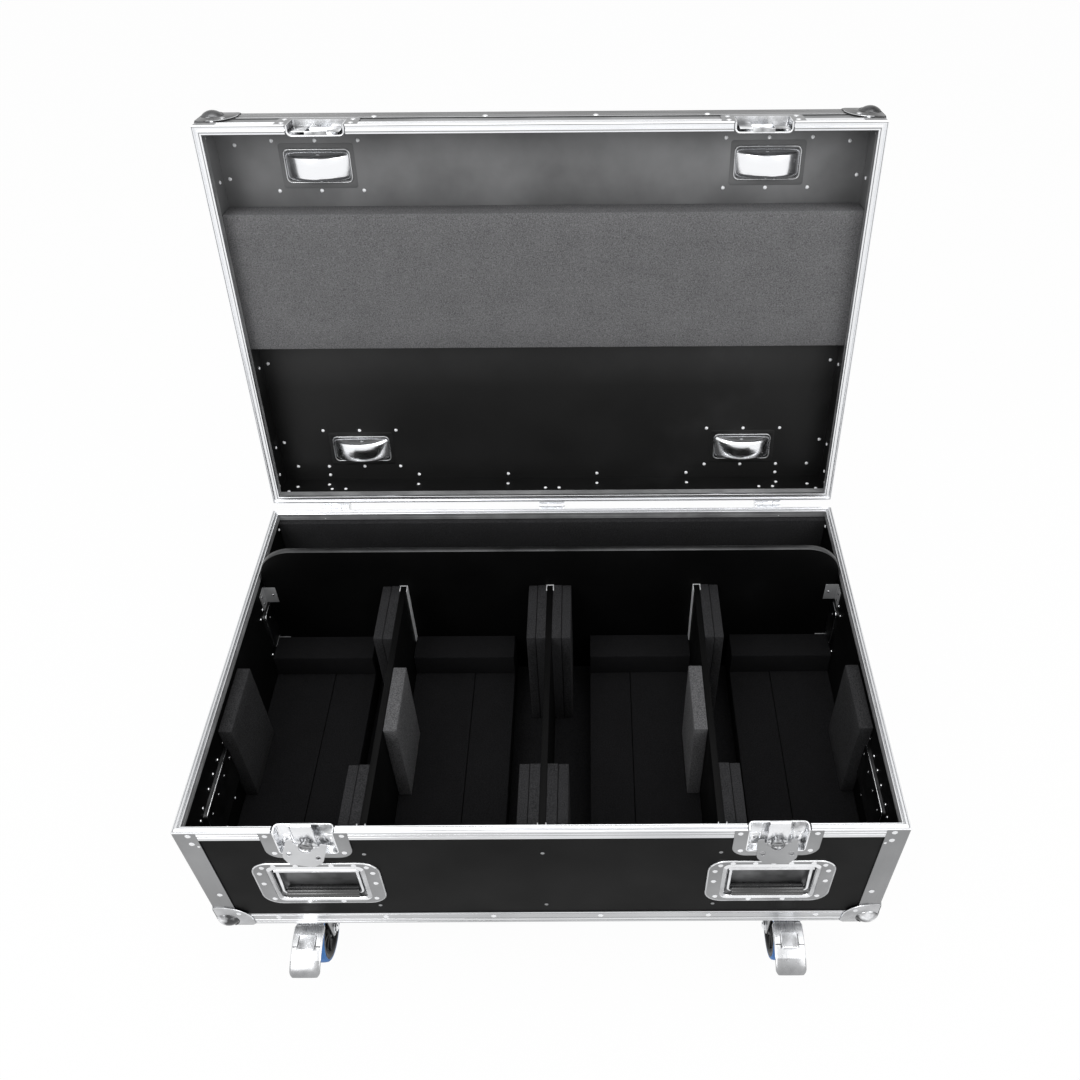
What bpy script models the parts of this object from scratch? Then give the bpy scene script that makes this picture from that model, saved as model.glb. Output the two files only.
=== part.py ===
"""Lighting flight case: a plywood road case on castors, bound in aluminium, with four padded bays,
a cable compartment behind a raised board, two butterfly latches, six recessed handles and a hinged lid.

Frame while building: x across, y from front (-) to back (+), both from the middle of the case, z up
from the floor, lid closed. At the end the lid is turned open and the whole case is centred.
"""
import math

import bmesh
import bpy
from mathutils import Matrix, Vector

# Whole case
WIDTH = 0.930
DEPTH = 0.598
TUB_HEIGHT = 0.250
LID_HEIGHT = 0.070
CASTOR_HEIGHT = 0.128
LID_OPEN_DEG = 99.3

# Sheet, fits and tool settings
METAL = 0.0012
GAP = 0.0003
RUNNING = 0.0006
LAP = 0.0005
OVERRUN = 0.03
WELD = 0.00001
SHARP_DEG = 32

# Plywood
WALL_PLY = 0.007
FLOOR_PLY = 0.009
BOARD_PLY = 0.009

# Rim extrusions
RIM_WIDTH = 0.010
RIM_FLANGE = 0.018
RIM_LIP = 0.013
TONGUE_INSET = 0.0035
TONGUE_WIDTH = 0.003
TONGUE_HEIGHT = 0.0025
LID_RIM_WIDTH = 0.012
LID_RIM_BAR = 0.005

# Edge angles and ball corners
ANGLE = 0.030
BALL_RADIUS = 0.020
BALL_INSET = 0.0128
CORNER_PLATE = 0.050
CORNER_PLATE_TIP = 0.016
CORNER_STEPS = 3

# Recessed handles
HANDLE_WIDTH = 0.178
HANDLE_HEIGHT = 0.110
HANDLE_CORNER = 0.025
PAN_WIDTH = 0.124
PAN_HEIGHT = 0.079
PAN_CORNER = 0.006
PAN_DEPTH = 0.012
PAN_TAPER = 0.005
FRONT_HANDLE_OFFSET = 0.071
FRONT_HANDLE_ROOM_SHARE = 0.32
SIDE_HANDLE_DROP = 0.103
SIDE_HANDLE_PLACES = (0.121, 0.477)
PIVOT_RISE = 0.029
PIVOT_DEPTH = 0.0048
PIVOT_RADIUS = 0.0032
ARM_RADIUS = 0.003
ARM_INSET = 0.0035
GRIP_RADIUS = 0.0087
GRIP_LENGTH = 0.102
GRIP_DROP = 0.027

# Latches
LATCH_OFFSET = 0.069
DISH_WIDTH = 0.112
DISH_HEIGHT = 0.063
DISH_CORNER = 0.020
POCKET_WIDTH = 0.078
POCKET_HEIGHT = 0.052
POCKET_DEPTH = 0.014
POCKET_CORNER = 0.007
HUB_DROP = 0.0285
HUB_RADIUS = 0.005
HUB_HEAD_RADIUS = 0.0085
HUB_HEAD_THICK = 0.0043
HUB_HEAD_LIFT = 0.0009
HUB_BASE_RADIUS = 0.008
HUB_BASE_THICK = 0.0029
CROSS_PIN_RADIUS = 0.00125
KNUCKLE_WALL = 0.00105
KNUCKLE_LENGTH = 0.0034
WING_WIDTH = 0.052
WING_HEIGHT = 0.032
WING_THICK = 0.0022
WING_SHOULDER = 0.021
WING_TOE = 0.034
WING_HOLE_RADIUS = 0.0028
WING_HOLE_X = 0.0185
WING_HOLE_DROP = 0.014
WING_REST_DEG = 24
LEFT_WING_TURN_DEG = 17
HALF_TURN_DEG = 180
HOOK_WIDTH = 0.026
HOOK_THICK = 0.0018
HOOK_LIP = 0.004
HOOK_FACE = 0.001
HOOK_RISE = 0.0105
HOOK_BELOW_HUB = 0.0125
HOOK_TRAVEL_IN = 0.0050
HOOK_TRAVEL_DOWN = 0.0075
KEEPER_POCKET_WIDTH = 0.0785
KEEPER_POCKET_HEIGHT = 0.034
KEEPER_POCKET_DEPTH = 0.015

# Hinges
HINGE_INSET = 0.105
HINGE_WIDTH = 0.042
HINGE_STANDOFF = 0.0075
HINGE_KNUCKLE = 0.0046
KNUCKLE_WEB_SHARE = 0.75
HINGE_MIDDLE = 0.016
HINGE_PIN_RADIUS = 0.002
HINGE_LEAF = 0.0019
HINGE_DROP = 0.040
STAY_REACH = 0.016
STAY_THICK = 0.0025
STAY_ROOT = 0.030
STAY_TOE = 0.007

# Rear board, channels and brackets
BOARD_PLACE = 0.4476
BOARD_RISE = 0.050
BOARD_CORNER = 0.055
BOARD_INSET = 0.014
BAY_TRIM = 0.0015
BOARD_SINK = 0.002
INSERT_DROP = 0.025
CHANNEL_WIDTH = 0.012
BRACKET_BOARD_LEG = 0.015
BRACKET_WALL_LEG = 0.020
BRACKET_HEIGHT = 0.033
BRACKET_DROP = 0.0275
LOW_BRACKET_DROP = 0.1465

# Foam
FOAM_SHEET = 0.010
BAY_BLOCK_DROP = 0.187
STEP_DROP = 0.147
STEP_DEPTH = 0.047
PAD_SLOT = 0.057
DOUBLE_PAD = 0.029
SINGLE_PAD = 0.020
FRONT_PAD = (0.0145, 0.117)
MIDDLE_PAD = (0.171, 0.284)
REAR_PAD_START = 0.338
COMPARTMENT_FOAM = 0.010
LID_FOAM_THICK = 0.0402
LID_FOAM = (0.125, 0.331)

# Castor dishes in the lid
CASTOR_DISH_SIDE_INSET = 0.147
CASTOR_DISH_INSET = 0.069
CASTOR_DISH_WIDTH = 0.142
CASTOR_DISH_DEPTH = 0.077
CASTOR_DISH_CORNER = 0.012
TROUGH_LENGTH = 0.100
TROUGH_WIDTH = 0.056
TROUGH_SINK = 0.028

# Castors
CASTOR_SIDE_INSET = 0.120
CASTOR_INSET = 0.066
CASTOR_PLATE_WIDTH = 0.085
CASTOR_PLATE_LENGTH = 0.105
CASTOR_PLATE_THICK = 0.003
CASTOR_PLATE_CORNER = 0.008
RACE_RADIUS = 0.026
RACE_HEIGHT = 0.0067
CROWN_RADIUS = 0.028
CROWN_HEIGHT = 0.0097
CASTOR_TRAIL = 0.035
WHEEL_RADIUS = 0.050
WHEEL_WIDTH = 0.036
TREAD_DEPTH = 0.011
WHEEL_DISH = 0.006
WHEEL_HUB_RADIUS = 0.014
AXLE_RADIUS = 0.004
NUT_RADIUS = 0.0085
NUT_THICK = 0.005
LEG_GAP = 0.0015
LEG_THICK = 0.003
LEG_EYE = 0.013
LEG_HEEL = 0.022
PEDAL_AXIS_REACH = 0.051
PEDAL_AXIS_DROP = 0.023
PEDAL_PIN_RADIUS = 0.002
PEDAL_BARREL_RADIUS = 0.004
PEDAL_WIDTH = 0.050
PEDAL_THICK = 0.0025
PEDAL_ROOT = 0.021
PEDAL_REACH = 0.073
PEDAL_FALL = 0.024
PEDAL_REACH_SHARES = (0, 0.30, 0.55, 0.75, 0.90, 1)
PEDAL_FALL_SHARES = (0, 0.05, 0.22, 0.45, 0.70, 1)
PEDAL_PAD_WIDTH = 0.030
PEDAL_PAD_LENGTH = 0.024
PEDAL_PAD_THICK = 0.003
PEDAL_PAD_SINK_SHARE = 0.2

# Planes and widths that follow from the sizes above
SKIN = METAL + GAP
HALF_WIDTH = WIDTH / 2
HALF_DEPTH = DEPTH / 2
FRONT = -HALF_DEPTH
BACK = HALF_DEPTH
DIVIDER_PITCH = WIDTH / 4 - BAY_TRIM
FRONT_HANDLE_X = DIVIDER_PITCH + FRONT_HANDLE_OFFSET
LATCH_X = DIVIDER_PITCH + LATCH_OFFSET
FRONT_ROOM = TUB_HEIGHT - DISH_HEIGHT - HANDLE_HEIGHT - ANGLE
FRONT_HANDLE_DROP = DISH_HEIGHT + FRONT_ROOM * FRONT_HANDLE_ROOM_SHARE + HANDLE_HEIGHT / 2
HINGE_X = HALF_WIDTH - HINGE_INSET
CASTOR_DISH_X = HALF_WIDTH - CASTOR_DISH_SIDE_INSET
CASTOR_X = HALF_WIDTH - CASTOR_SIDE_INSET
BASE = CASTOR_HEIGHT
RIM = BASE + TUB_HEIGHT
TOP = RIM + LID_HEIGHT
WALL_INNER = SKIN + WALL_PLY
FLOOR_PLY_TOP = BASE + SKIN + FLOOR_PLY
INNER_X = HALF_WIDTH - WALL_INNER - GAP
INNER_FRONT = FRONT + WALL_INNER + GAP
INNER_BACK = BACK - WALL_INNER - GAP
SHEET_TOP = FLOOR_PLY_TOP + GAP + FOAM_SHEET
INSERT_TOP = RIM - INSERT_DROP
WALL_TOP = RIM - SKIN
LID_BOTTOM = RIM + GAP
BOARD_FACE = FRONT + BOARD_PLACE
HINGE_Y = BACK + HINGE_STANDOFF
HUB_Z = RIM - HUB_DROP
FOLD_Y = -(HUB_HEAD_LIFT + HUB_HEAD_THICK / 2)

PARTS = bpy.data.collections.new("lighting_flight_case")
CUTTERS = bpy.data.collections.new("cutters")
AXIS_TURNS = {
    "X": Matrix(((0, 0, 1), (1, 0, 0), (0, 1, 0))),
    "Y": Matrix(((1, 0, 0), (0, 0, -1), (0, 1, 0))),
    "Z": Matrix.Identity(3),
}
AXIS_UNITS = {"X": Vector((1, 0, 0)), "Y": Vector((0, 1, 0)), "Z": Vector((0, 0, 1))}
FINISHES = {
    "laminate": ((0.012, 0.012, 0.013), 0.42, 0.0),
    "aluminium": ((0.80, 0.81, 0.83), 0.28, 1.0),
    "zinc": ((0.72, 0.73, 0.75), 0.24, 1.0),
    "chrome": ((0.85, 0.85, 0.86), 0.12, 1.0),
    "foam": ((0.030, 0.030, 0.032), 0.95, 0.0),
    "wheel": ((0.02, 0.12, 0.42), 0.55, 0.0),
}
RIDES = []


# Modelling tools
def finished(name, shape):
    """Turn a bmesh into a welded, outward-facing, smooth-shaded object."""
    bmesh.ops.remove_doubles(shape, verts=shape.verts, dist=WELD)
    bmesh.ops.recalc_face_normals(shape, faces=shape.faces)
    mesh = bpy.data.meshes.new(name)
    shape.to_mesh(mesh)
    shape.free()
    mesh.shade_smooth()
    mesh.set_sharp_from_angle(angle=math.radians(SHARP_DEG))
    made = bpy.data.objects.new(name, mesh)
    PARTS.objects.link(made)
    return made


def evaluated_shape(source):
    """Read an object as its modifiers leave it, then drop the object."""
    graph = bpy.context.evaluated_depsgraph_get()
    mesh = bpy.data.meshes.new_from_object(source.evaluated_get(graph))
    shape = bmesh.new()
    shape.from_mesh(mesh)
    bpy.data.meshes.remove(mesh)
    drop(source)
    return shape


def drop(source):
    """Remove an object and the tools of its Booleans."""
    tools = [step.object for step in source.modifiers if step.type == "BOOLEAN"]
    bpy.data.objects.remove(source)
    for tool in tools:
        drop(tool)


def baked(source):
    name = source.name
    source.name = name + "_draft"
    return finished(name, evaluated_shape(source))


def combine(body, tool, operation):
    step = body.modifiers.new(tool.name, "BOOLEAN")
    step.operation = operation
    step.solver = "EXACT"
    step.object = tool
    PARTS.objects.unlink(tool)
    CUTTERS.objects.link(tool)
    tool.hide_render = True
    tool.display_type = "WIRE"


def join(body, *tools):
    for tool in tools:
        combine(body, tool, "UNION")
    return body


def cut(body, *tools):
    for tool in tools:
        combine(body, tool, "DIFFERENCE")
    return body


def box(name, low, high):
    """A box from its low corner to its high corner."""
    low = Vector(low)
    high = Vector(high)
    shape = bmesh.new()
    bmesh.ops.create_cube(shape, size=1)
    place = Matrix.Translation((low + high) / 2) @ Matrix.Diagonal((*(high - low), 1))
    bmesh.ops.transform(shape, matrix=place, verts=shape.verts)
    return finished(name, shape)


def rod(name, radius, start, end, axis, across=(0, 0), sides=16):
    """A cylinder along an axis; across is its place in the two other directions."""
    shape = bmesh.new()
    bmesh.ops.create_cone(
        shape, cap_ends=True, segments=sides, radius1=radius, radius2=radius, depth=end - start
    )
    place = prism_place(axis, (start + end) / 2) @ Matrix.Translation((*across, 0))
    bmesh.ops.transform(shape, matrix=place, verts=shape.verts)
    return finished(name, shape)


def ball(name, radius, centre, sides=8, rings=6):
    shape = bmesh.new()
    bmesh.ops.create_uvsphere(shape, u_segments=sides, v_segments=rings, radius=radius)
    bmesh.ops.transform(shape, matrix=Matrix.Translation(centre), verts=shape.verts)
    return finished(name, shape)


def prism_place(axis, middle):
    return Matrix.Translation(AXIS_UNITS[axis] * middle) @ AXIS_TURNS[axis].to_4x4()


def prism(name, outlines, start, end, axis="Z"):
    """Extrude flat outlines along an axis; an outline inside another is a hole."""
    curve = bpy.data.curves.new(name, "CURVE")
    curve.dimensions = "2D"
    curve.fill_mode = "BOTH"
    curve.extrude = (end - start) / 2
    for outline in outlines:
        spline = curve.splines.new("POLY")
        spline.points.add(len(outline) - 1)
        spline.use_cyclic_u = True
        for point, (u, v) in zip(spline.points, outline):
            point.co = (u, v, 0, 1)
    flat = bpy.data.objects.new(name + "_outline", curve)
    PARTS.objects.link(flat)
    shape = evaluated_shape(flat)
    bmesh.ops.transform(shape, matrix=prism_place(axis, (start + end) / 2), verts=shape.verts)
    return finished(name, shape)


def turned(name, profile, axis="Z", steps=20, ring=False):
    """Turn a profile of (radius, height) points; a ring's profile closes on itself."""
    mesh = bpy.data.meshes.new(name)
    count = len(profile)
    edges = [(i, (i + 1) % count) for i in range(count if ring else count - 1)]
    mesh.from_pydata([(radius, 0, height) for radius, height in profile], edges, [])
    blank = bpy.data.objects.new(name + "_profile", mesh)
    PARTS.objects.link(blank)
    screw = blank.modifiers.new("turn", "SCREW")
    screw.steps = steps
    screw.render_steps = steps
    screw.use_merge_vertices = True
    screw.merge_threshold = WELD
    shape = evaluated_shape(blank)
    bmesh.ops.transform(shape, matrix=AXIS_TURNS[axis].to_4x4(), verts=shape.verts)
    return finished(name, shape)


def tube(name, points, radius):
    """A round bar along points."""
    curve = bpy.data.curves.new(name, "CURVE")
    curve.dimensions = "3D"
    curve.bevel_depth = radius
    curve.bevel_resolution = 2
    curve.resolution_u = 1
    curve.render_resolution_u = 0
    curve.use_fill_caps = True
    spline = curve.splines.new("POLY")
    spline.points.add(len(points) - 1)
    for point, place in zip(spline.points, points):
        point.co = (*place, 1)
    wire = bpy.data.objects.new(name + "_path", curve)
    PARTS.objects.link(wire)
    return finished(name, evaluated_shape(wire))


def arc(centre, radius, start_deg, end_deg, steps):
    """Points on an arc, both ends included."""
    turns = [math.radians(start_deg + (end_deg - start_deg) * i / steps) for i in range(steps + 1)]
    return [(centre[0] + radius * math.cos(t), centre[1] + radius * math.sin(t)) for t in turns]


def rounded(width, height, radius, steps=3, centre=(0, 0)):
    """A rectangle with rounded corners, anticlockwise from the lower right corner."""
    points = []
    reach_u = width / 2 - radius
    reach_v = height / 2 - radius
    for quarter, (side_u, side_v) in enumerate(((1, -1), (1, 1), (-1, 1), (-1, -1))):
        middle = (centre[0] + side_u * reach_u, centre[1] + side_v * reach_v)
        start = 90 * (quarter - 1)
        points += arc(middle, radius, start, start + 90, steps)
    return points


def rectangle(half_u, half_v):
    return [(half_u, -half_v), (half_u, half_v), (-half_u, half_v), (-half_u, -half_v)]


def frame_ring(name, outer_inset, inner_inset, bottom, top):
    """A rectangular ring round the case between two insets from its outer planes."""
    outer = rectangle(HALF_WIDTH - outer_inset, HALF_DEPTH - outer_inset)
    inner = rectangle(HALF_WIDTH - inner_inset, HALF_DEPTH - inner_inset)
    return prism(name, [outer, inner], bottom, top)


def loft(name, loops):
    """An open dish: loops of equal length joined in order, the last one closed by a face."""
    shape = bmesh.new()
    rows = [[shape.verts.new(point) for point in loop] for loop in loops]
    for near, far in zip(rows, rows[1:]):
        for i in range(len(near)):
            k = (i + 1) % len(near)
            shape.faces.new((near[i], near[k], far[k], far[i]))
    shape.faces.new(rows[-1])
    mesh = bpy.data.meshes.new(name)
    shape.to_mesh(mesh)
    shape.free()
    made = bpy.data.objects.new(name, mesh)
    PARTS.objects.link(made)
    return made


def cornered_box(name, inset, bottom, top, leg, corner_z):
    """A box inset from the case planes, its four corners at one end cut off across the ball corners."""
    half_x = HALF_WIDTH - inset
    half_y = HALF_DEPTH - inset
    made = box(name, (-half_x, -half_y, bottom), (half_x, half_y, top))
    shape = bmesh.new()
    shape.from_mesh(made.data)
    rise = 1 if corner_z > (bottom + top) / 2 else -1
    for side_x in (-1, 1):
        for side_y in (-1, 1):
            geometry = shape.verts[:] + shape.edges[:] + shape.faces[:]
            sliced = bmesh.ops.bisect_plane(
                shape,
                geom=geometry,
                plane_co=(side_x * (half_x - leg), side_y * half_y, corner_z),
                plane_no=(side_x, side_y, rise),
                clear_outer=True,
            )
            rim = [item for item in sliced["geom_cut"] if isinstance(item, bmesh.types.BMEdge)]
            bmesh.ops.edgeloop_fill(shape, edges=rim)
    drop(made)
    return finished(name, shape)


def carrier(name, place, parent=None):
    """An empty on a joint's axis."""
    made = bpy.data.objects.new(name, None)
    made.location = place
    made.empty_display_size = HINGE_STANDOFF
    PARTS.objects.link(made)
    ride(made, parent)
    return made


def ride(rider, parent):
    RIDES.append((rider, parent))


def placed(name, shared, place, turn_deg=0):
    """A copy of a piece that shares its mesh, turned about the vertical."""
    made = bpy.data.objects.new(name, shared.data)
    made.location = place
    made.rotation_euler = (0, 0, math.radians(turn_deg))
    PARTS.objects.link(made)
    return made


def coat(piece, finish):
    colour, roughness, metallic = FINISHES[finish]
    paint = bpy.data.materials.new(piece.name + "_" + finish)
    paint.use_nodes = True
    shader = paint.node_tree.nodes["Principled BSDF"]
    shader.inputs["Base Color"].default_value = (*colour, 1)
    shader.inputs["Roughness"].default_value = roughness
    shader.inputs["Metallic"].default_value = metallic
    paint.diffuse_color = (*colour, 1)
    piece.material_slots[0].link = "OBJECT"
    piece.material_slots[0].material = paint


def keep(piece, finish, parent):
    """File a finished piece: its own material and what it rides on."""
    if not piece.data.materials:
        piece.data.materials.append(None)
    coat(piece, finish)
    ride(piece, parent)
    return piece


# Plywood tub
def channel(name, x, wall_y, inward):
    """A U channel on a wall, open away from it, from the foam sheet to the insert height."""
    half = CHANNEL_WIDTH / 2
    slot = half - METAL
    back = wall_y - inward * LAP
    web = wall_y + inward * METAL
    mouth = wall_y + inward * CHANNEL_WIDTH
    outline = [(-half, back), (half, back), (half, mouth), (slot, mouth)]
    outline += [(slot, web), (-slot, web), (-slot, mouth), (-half, mouth)]
    return prism(name, [[(x + u, v) for u, v in outline]], SHEET_TOP + GAP, INSERT_TOP)


def handle_hole(name, place, turn_deg):
    """The wall opening behind a handle dish."""
    width = PAN_WIDTH + METAL * 2 + RUNNING * 2
    height = PAN_HEIGHT + METAL * 2 + RUNNING * 2
    hole = prism(name, [rounded(width, height, PAN_CORNER + METAL)], -OVERRUN, OVERRUN, "Y")
    hole.location = place
    hole.rotation_euler = (0, 0, math.radians(turn_deg))
    return hole


def handle_places():
    """Name, place on the case plane and turn of each recessed handle."""
    places = []
    for side, label in ((-1, "left"), (1, "right")):
        front_place = (side * FRONT_HANDLE_X, FRONT, RIM - FRONT_HANDLE_DROP)
        places.append(("front_" + label, front_place, 0))
        for end, reach in zip(("fore", "aft"), SIDE_HANDLE_PLACES):
            side_place = (side * HALF_WIDTH, FRONT + reach, RIM - SIDE_HANDLE_DROP)
            places.append((label + "_" + end, side_place, side * 90))
    return places


def wall_outline(half_x, bottom):
    """Front or back wall outline; the lower corners give way to the ball corners."""
    leg = BASE + BALL_INSET - bottom
    half = half_x - leg
    return [(-half, bottom), (half, bottom), (half_x, bottom + leg), (half_x, WALL_TOP),
            (-half_x, WALL_TOP), (-half_x, bottom + leg)]


def plywood_tub(root):
    half_x = HALF_WIDTH - SKIN
    half_y = HALF_DEPTH - SKIN
    leg = BALL_INSET - SKIN
    floor_outline = [
        (side_x * (half_x - cut_x), side_y * (half_y - cut_y))
        for side_x, side_y, cut_x, cut_y in (
            (-1, -1, 0, leg), (-1, -1, leg, 0), (1, -1, leg, 0), (1, -1, 0, leg),
            (1, 1, 0, leg), (1, 1, leg, 0), (-1, 1, leg, 0), (-1, 1, 0, leg),
        )
    ]
    floor_and_back = prism("tub_bottom_and_back", [floor_outline], BASE + SKIN, FLOOR_PLY_TOP)
    back_outline = wall_outline(half_x, FLOOR_PLY_TOP - LAP)
    join(floor_and_back, prism("back_wall", [back_outline], half_y - WALL_PLY, half_y, "Y"))
    keep(floor_and_back, "laminate", root)

    front_outline = wall_outline(half_x, FLOOR_PLY_TOP + GAP)
    front = prism("tub_front_panel", [front_outline], -half_y, WALL_PLY - half_y, "Y")
    for side in (-1, 0, 1):
        join(front, channel("front_channel", side * DIVIDER_PITCH, FRONT + WALL_INNER, 1))
    for side in (-1, 1):
        reach = POCKET_WIDTH / 2 + RUNNING
        low = (side * LATCH_X - reach, FRONT - OVERRUN, RIM - POCKET_HEIGHT - RUNNING)
        high = (side * LATCH_X + reach, FRONT + WALL_INNER + OVERRUN, RIM + OVERRUN)
        cut(front, box("latch_notch", low, high))
    sides = {}
    for side, label in ((-1, "left"), (1, "right")):
        outer = side * half_x
        inner = side * (half_x - WALL_PLY)
        reach = HALF_DEPTH - WALL_INNER - GAP
        low = (min(outer, inner), -reach, FLOOR_PLY_TOP + GAP)
        high = (max(outer, inner), reach, WALL_TOP)
        sides[label] = box("tub_" + label + "_panel", low, high)
    for name, place, turn_deg in handle_places():
        panel = front if name.startswith("front") else sides[name.split("_")[0]]
        cut(panel, handle_hole("hole_" + name, place, turn_deg))
    keep(front, "laminate", root)
    for panel in sides.values():
        keep(panel, "laminate", root)


# Aluminium rims
def rim_strips(bottom, top):
    """Outer flanges of a rim, which stop short at the corner angles and the latch dishes."""
    reach_x = HALF_WIDTH - ANGLE - GAP
    reach_y = HALF_DEPTH - ANGLE - GAP
    dish = DISH_WIDTH / 2 + GAP
    stops = (-reach_x, -LATCH_X - dish, dish - LATCH_X, LATCH_X - dish, LATCH_X + dish, reach_x)
    strips = [box("flange", (-reach_x, BACK - METAL, bottom), (reach_x, BACK, top))]
    for start, end in zip(stops[::2], stops[1::2]):
        strips.append(box("flange", (start, FRONT, bottom), (end, FRONT + METAL, top)))
    for side in (-1, 1):
        near = side * HALF_WIDTH
        far = side * (HALF_WIDTH - METAL)
        low = (min(near, far), -reach_y, bottom)
        strips.append(box("flange", low, (max(near, far), reach_y, top)))
    return strips


def latch_gaps(rim, half_width, inner):
    """Cut away the two stretches of a front rim that the latches take up."""
    for side in (-1, 1):
        low = (side * LATCH_X - half_width, FRONT - OVERRUN, RIM - OVERRUN)
        high = (side * LATCH_X + half_width, FRONT + inner + OVERRUN, RIM + OVERRUN)
        cut(rim, box("latch_gap", low, high))


def split_rim(rim, front_name, root):
    """Cut a rim at both latches into the long stretch and the short front one between them."""
    middle = LATCH_X + POCKET_WIDTH / 2
    low = (-middle, FRONT - OVERRUN, RIM - OVERRUN)
    high = (middle, FRONT + LID_RIM_WIDTH + OVERRUN, RIM + OVERRUN)
    front = baked(rim)
    name = front.name
    rest = placed(name + "_rest", front, (0, 0, 0))
    rest.data = front.data.copy()
    cut(rest, box("front_stretch", low, high))
    combine(front, box("front_stretch", low, high), "INTERSECT")
    front = baked(front)
    front.name = front_name
    rest = baked(rest)
    rest.name = name
    keep(front, "aluminium", root)
    return keep(rest, "aluminium", root)


def tub_rim(root):
    flange_top = RIM - METAL / 2
    rim = frame_ring("tub_rim", 0, RIM_WIDTH, RIM - METAL, RIM)
    join(rim, frame_ring("lip", RIM_WIDTH - METAL, RIM_WIDTH, RIM - RIM_LIP, flange_top))
    tongue_inner = TONGUE_INSET + TONGUE_WIDTH
    join(rim, frame_ring("tongue", TONGUE_INSET, tongue_inner, flange_top, RIM + TONGUE_HEIGHT))
    join(rim, *rim_strips(RIM - RIM_FLANGE, flange_top))
    latch_gaps(rim, POCKET_WIDTH / 2 + METAL, POCKET_DEPTH)
    return split_rim(rim, "tub_rim_front", root)


def lid_rim(lid):
    bar_top = LID_BOTTOM + LID_RIM_BAR
    overlap = bar_top - LAP
    rim = frame_ring("lid_rim", 0, LID_RIM_WIDTH, LID_BOTTOM, bar_top)
    join(rim, frame_ring("lip", RIM_WIDTH - METAL, RIM_WIDTH, overlap, LID_BOTTOM + RIM_LIP))
    join(rim, *rim_strips(overlap, LID_BOTTOM + RIM_FLANGE))
    outer = TONGUE_INSET - RUNNING
    inner = TONGUE_INSET + TONGUE_WIDTH + RUNNING
    groove_top = RIM + TONGUE_HEIGHT + RUNNING
    cut(rim, frame_ring("groove", outer, inner, RIM - OVERRUN, groove_top))
    latch_gaps(rim, KEEPER_POCKET_WIDTH / 2 + METAL, KEEPER_POCKET_DEPTH)
    for side in (-1, 0, 1):
        join(rim, lid_leaf(side * HINGE_X))
    return split_rim(rim, "lid_rim_front", lid)


# Edge angles with ball corners
def corner_plate(axis, corner_u, corner_v, plane, inward):
    """One fan-shaped leg of a ball corner, on one face of the case."""
    tip = CORNER_PLATE_TIP
    bend = CORNER_PLATE - tip
    outline = [(0, 0), (CORNER_PLATE, 0)]
    outline += arc((tip, tip), bend, 0, 90, CORNER_STEPS)
    outline += [(0, CORNER_PLATE)]
    points = [(corner_u[0] + corner_u[1] * u, corner_v[0] + corner_v[1] * v) for u, v in outline]
    outside = plane - inward * METAL
    inside = plane + inward * METAL
    return prism("corner_plate", [points], min(outside, inside), max(outside, inside), axis)


def edge_frame(name, face, mouth, parent):
    """Angles along the edges of a closed face and up its corners, with four ball corners."""
    up = 1 if mouth > face else -1
    inner_x = HALF_WIDTH - ANGLE
    inner_y = HALF_DEPTH - ANGLE
    span = sorted((face, mouth))
    edge = sorted((face, face + up * ANGLE))
    frame = box(name, (inner_x, inner_y, span[0]), (HALF_WIDTH, HALF_DEPTH, span[1]))
    join(frame, box("edge", (-OVERRUN, inner_y, edge[0]), (HALF_WIDTH, HALF_DEPTH, edge[1])))
    join(frame, box("edge", (inner_x, -OVERRUN, edge[0]), (HALF_WIDTH, HALF_DEPTH, edge[1])))
    corner_x = (HALF_WIDTH + METAL, -1)
    corner_y = (HALF_DEPTH + METAL, -1)
    corner_z = (face - up * METAL, up)
    join(frame, corner_plate("Z", corner_x, corner_y, face, up))
    join(frame, corner_plate("Y", corner_x, corner_z, HALF_DEPTH, -1))
    join(frame, corner_plate("X", corner_y, corner_z, HALF_WIDTH, -1))
    centre = (HALF_WIDTH - BALL_INSET, HALF_DEPTH - BALL_INSET, face + up * BALL_INSET)
    blunt = sorted((centre[2], centre[2] - up * OVERRUN))
    blunt_high = (centre[0] + OVERRUN, centre[1] + OVERRUN, blunt[1])
    cut(frame, box("blunt", (centre[0], centre[1], blunt[0]), blunt_high))
    join(frame, ball("ball", BALL_RADIUS, centre))
    core_face = face + up * METAL
    core_span = sorted((core_face, mouth + up * OVERRUN))
    leg = BALL_INSET - METAL
    cut(frame, cornered_box("core", METAL, core_span[0], core_span[1], leg, core_face))
    frame = baked(frame)
    mirror = frame.modifiers.new("mirror", "MIRROR")
    mirror.use_axis = (True, True, False)
    mirror.use_bisect_axis = (True, True, False)
    mirror.merge_threshold = WELD
    return keep(frame, "aluminium", parent)


# Recessed handles
def handle_dish():
    """Pressed dish: a flange with rounded corners round a tapered pan."""
    floor_width = PAN_WIDTH - PAN_TAPER * 2
    floor_height = PAN_HEIGHT - PAN_TAPER * 2
    sections = [
        (HANDLE_WIDTH, HANDLE_HEIGHT, HANDLE_CORNER, 0),
        (PAN_WIDTH, PAN_HEIGHT, PAN_CORNER, 0),
        (floor_width, floor_height, PAN_CORNER, PAN_DEPTH),
    ]
    loops = []
    for width, height, corner, depth in sections:
        loops.append([(u, depth, v) for u, v in rounded(width, height, corner)])
    dish = loft("handle_dish_pattern", loops)
    sheet = dish.modifiers.new("sheet", "SOLIDIFY")
    sheet.thickness = METAL
    sheet.offset = -1
    sheet.use_even_offset = True
    return baked(dish)


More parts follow.
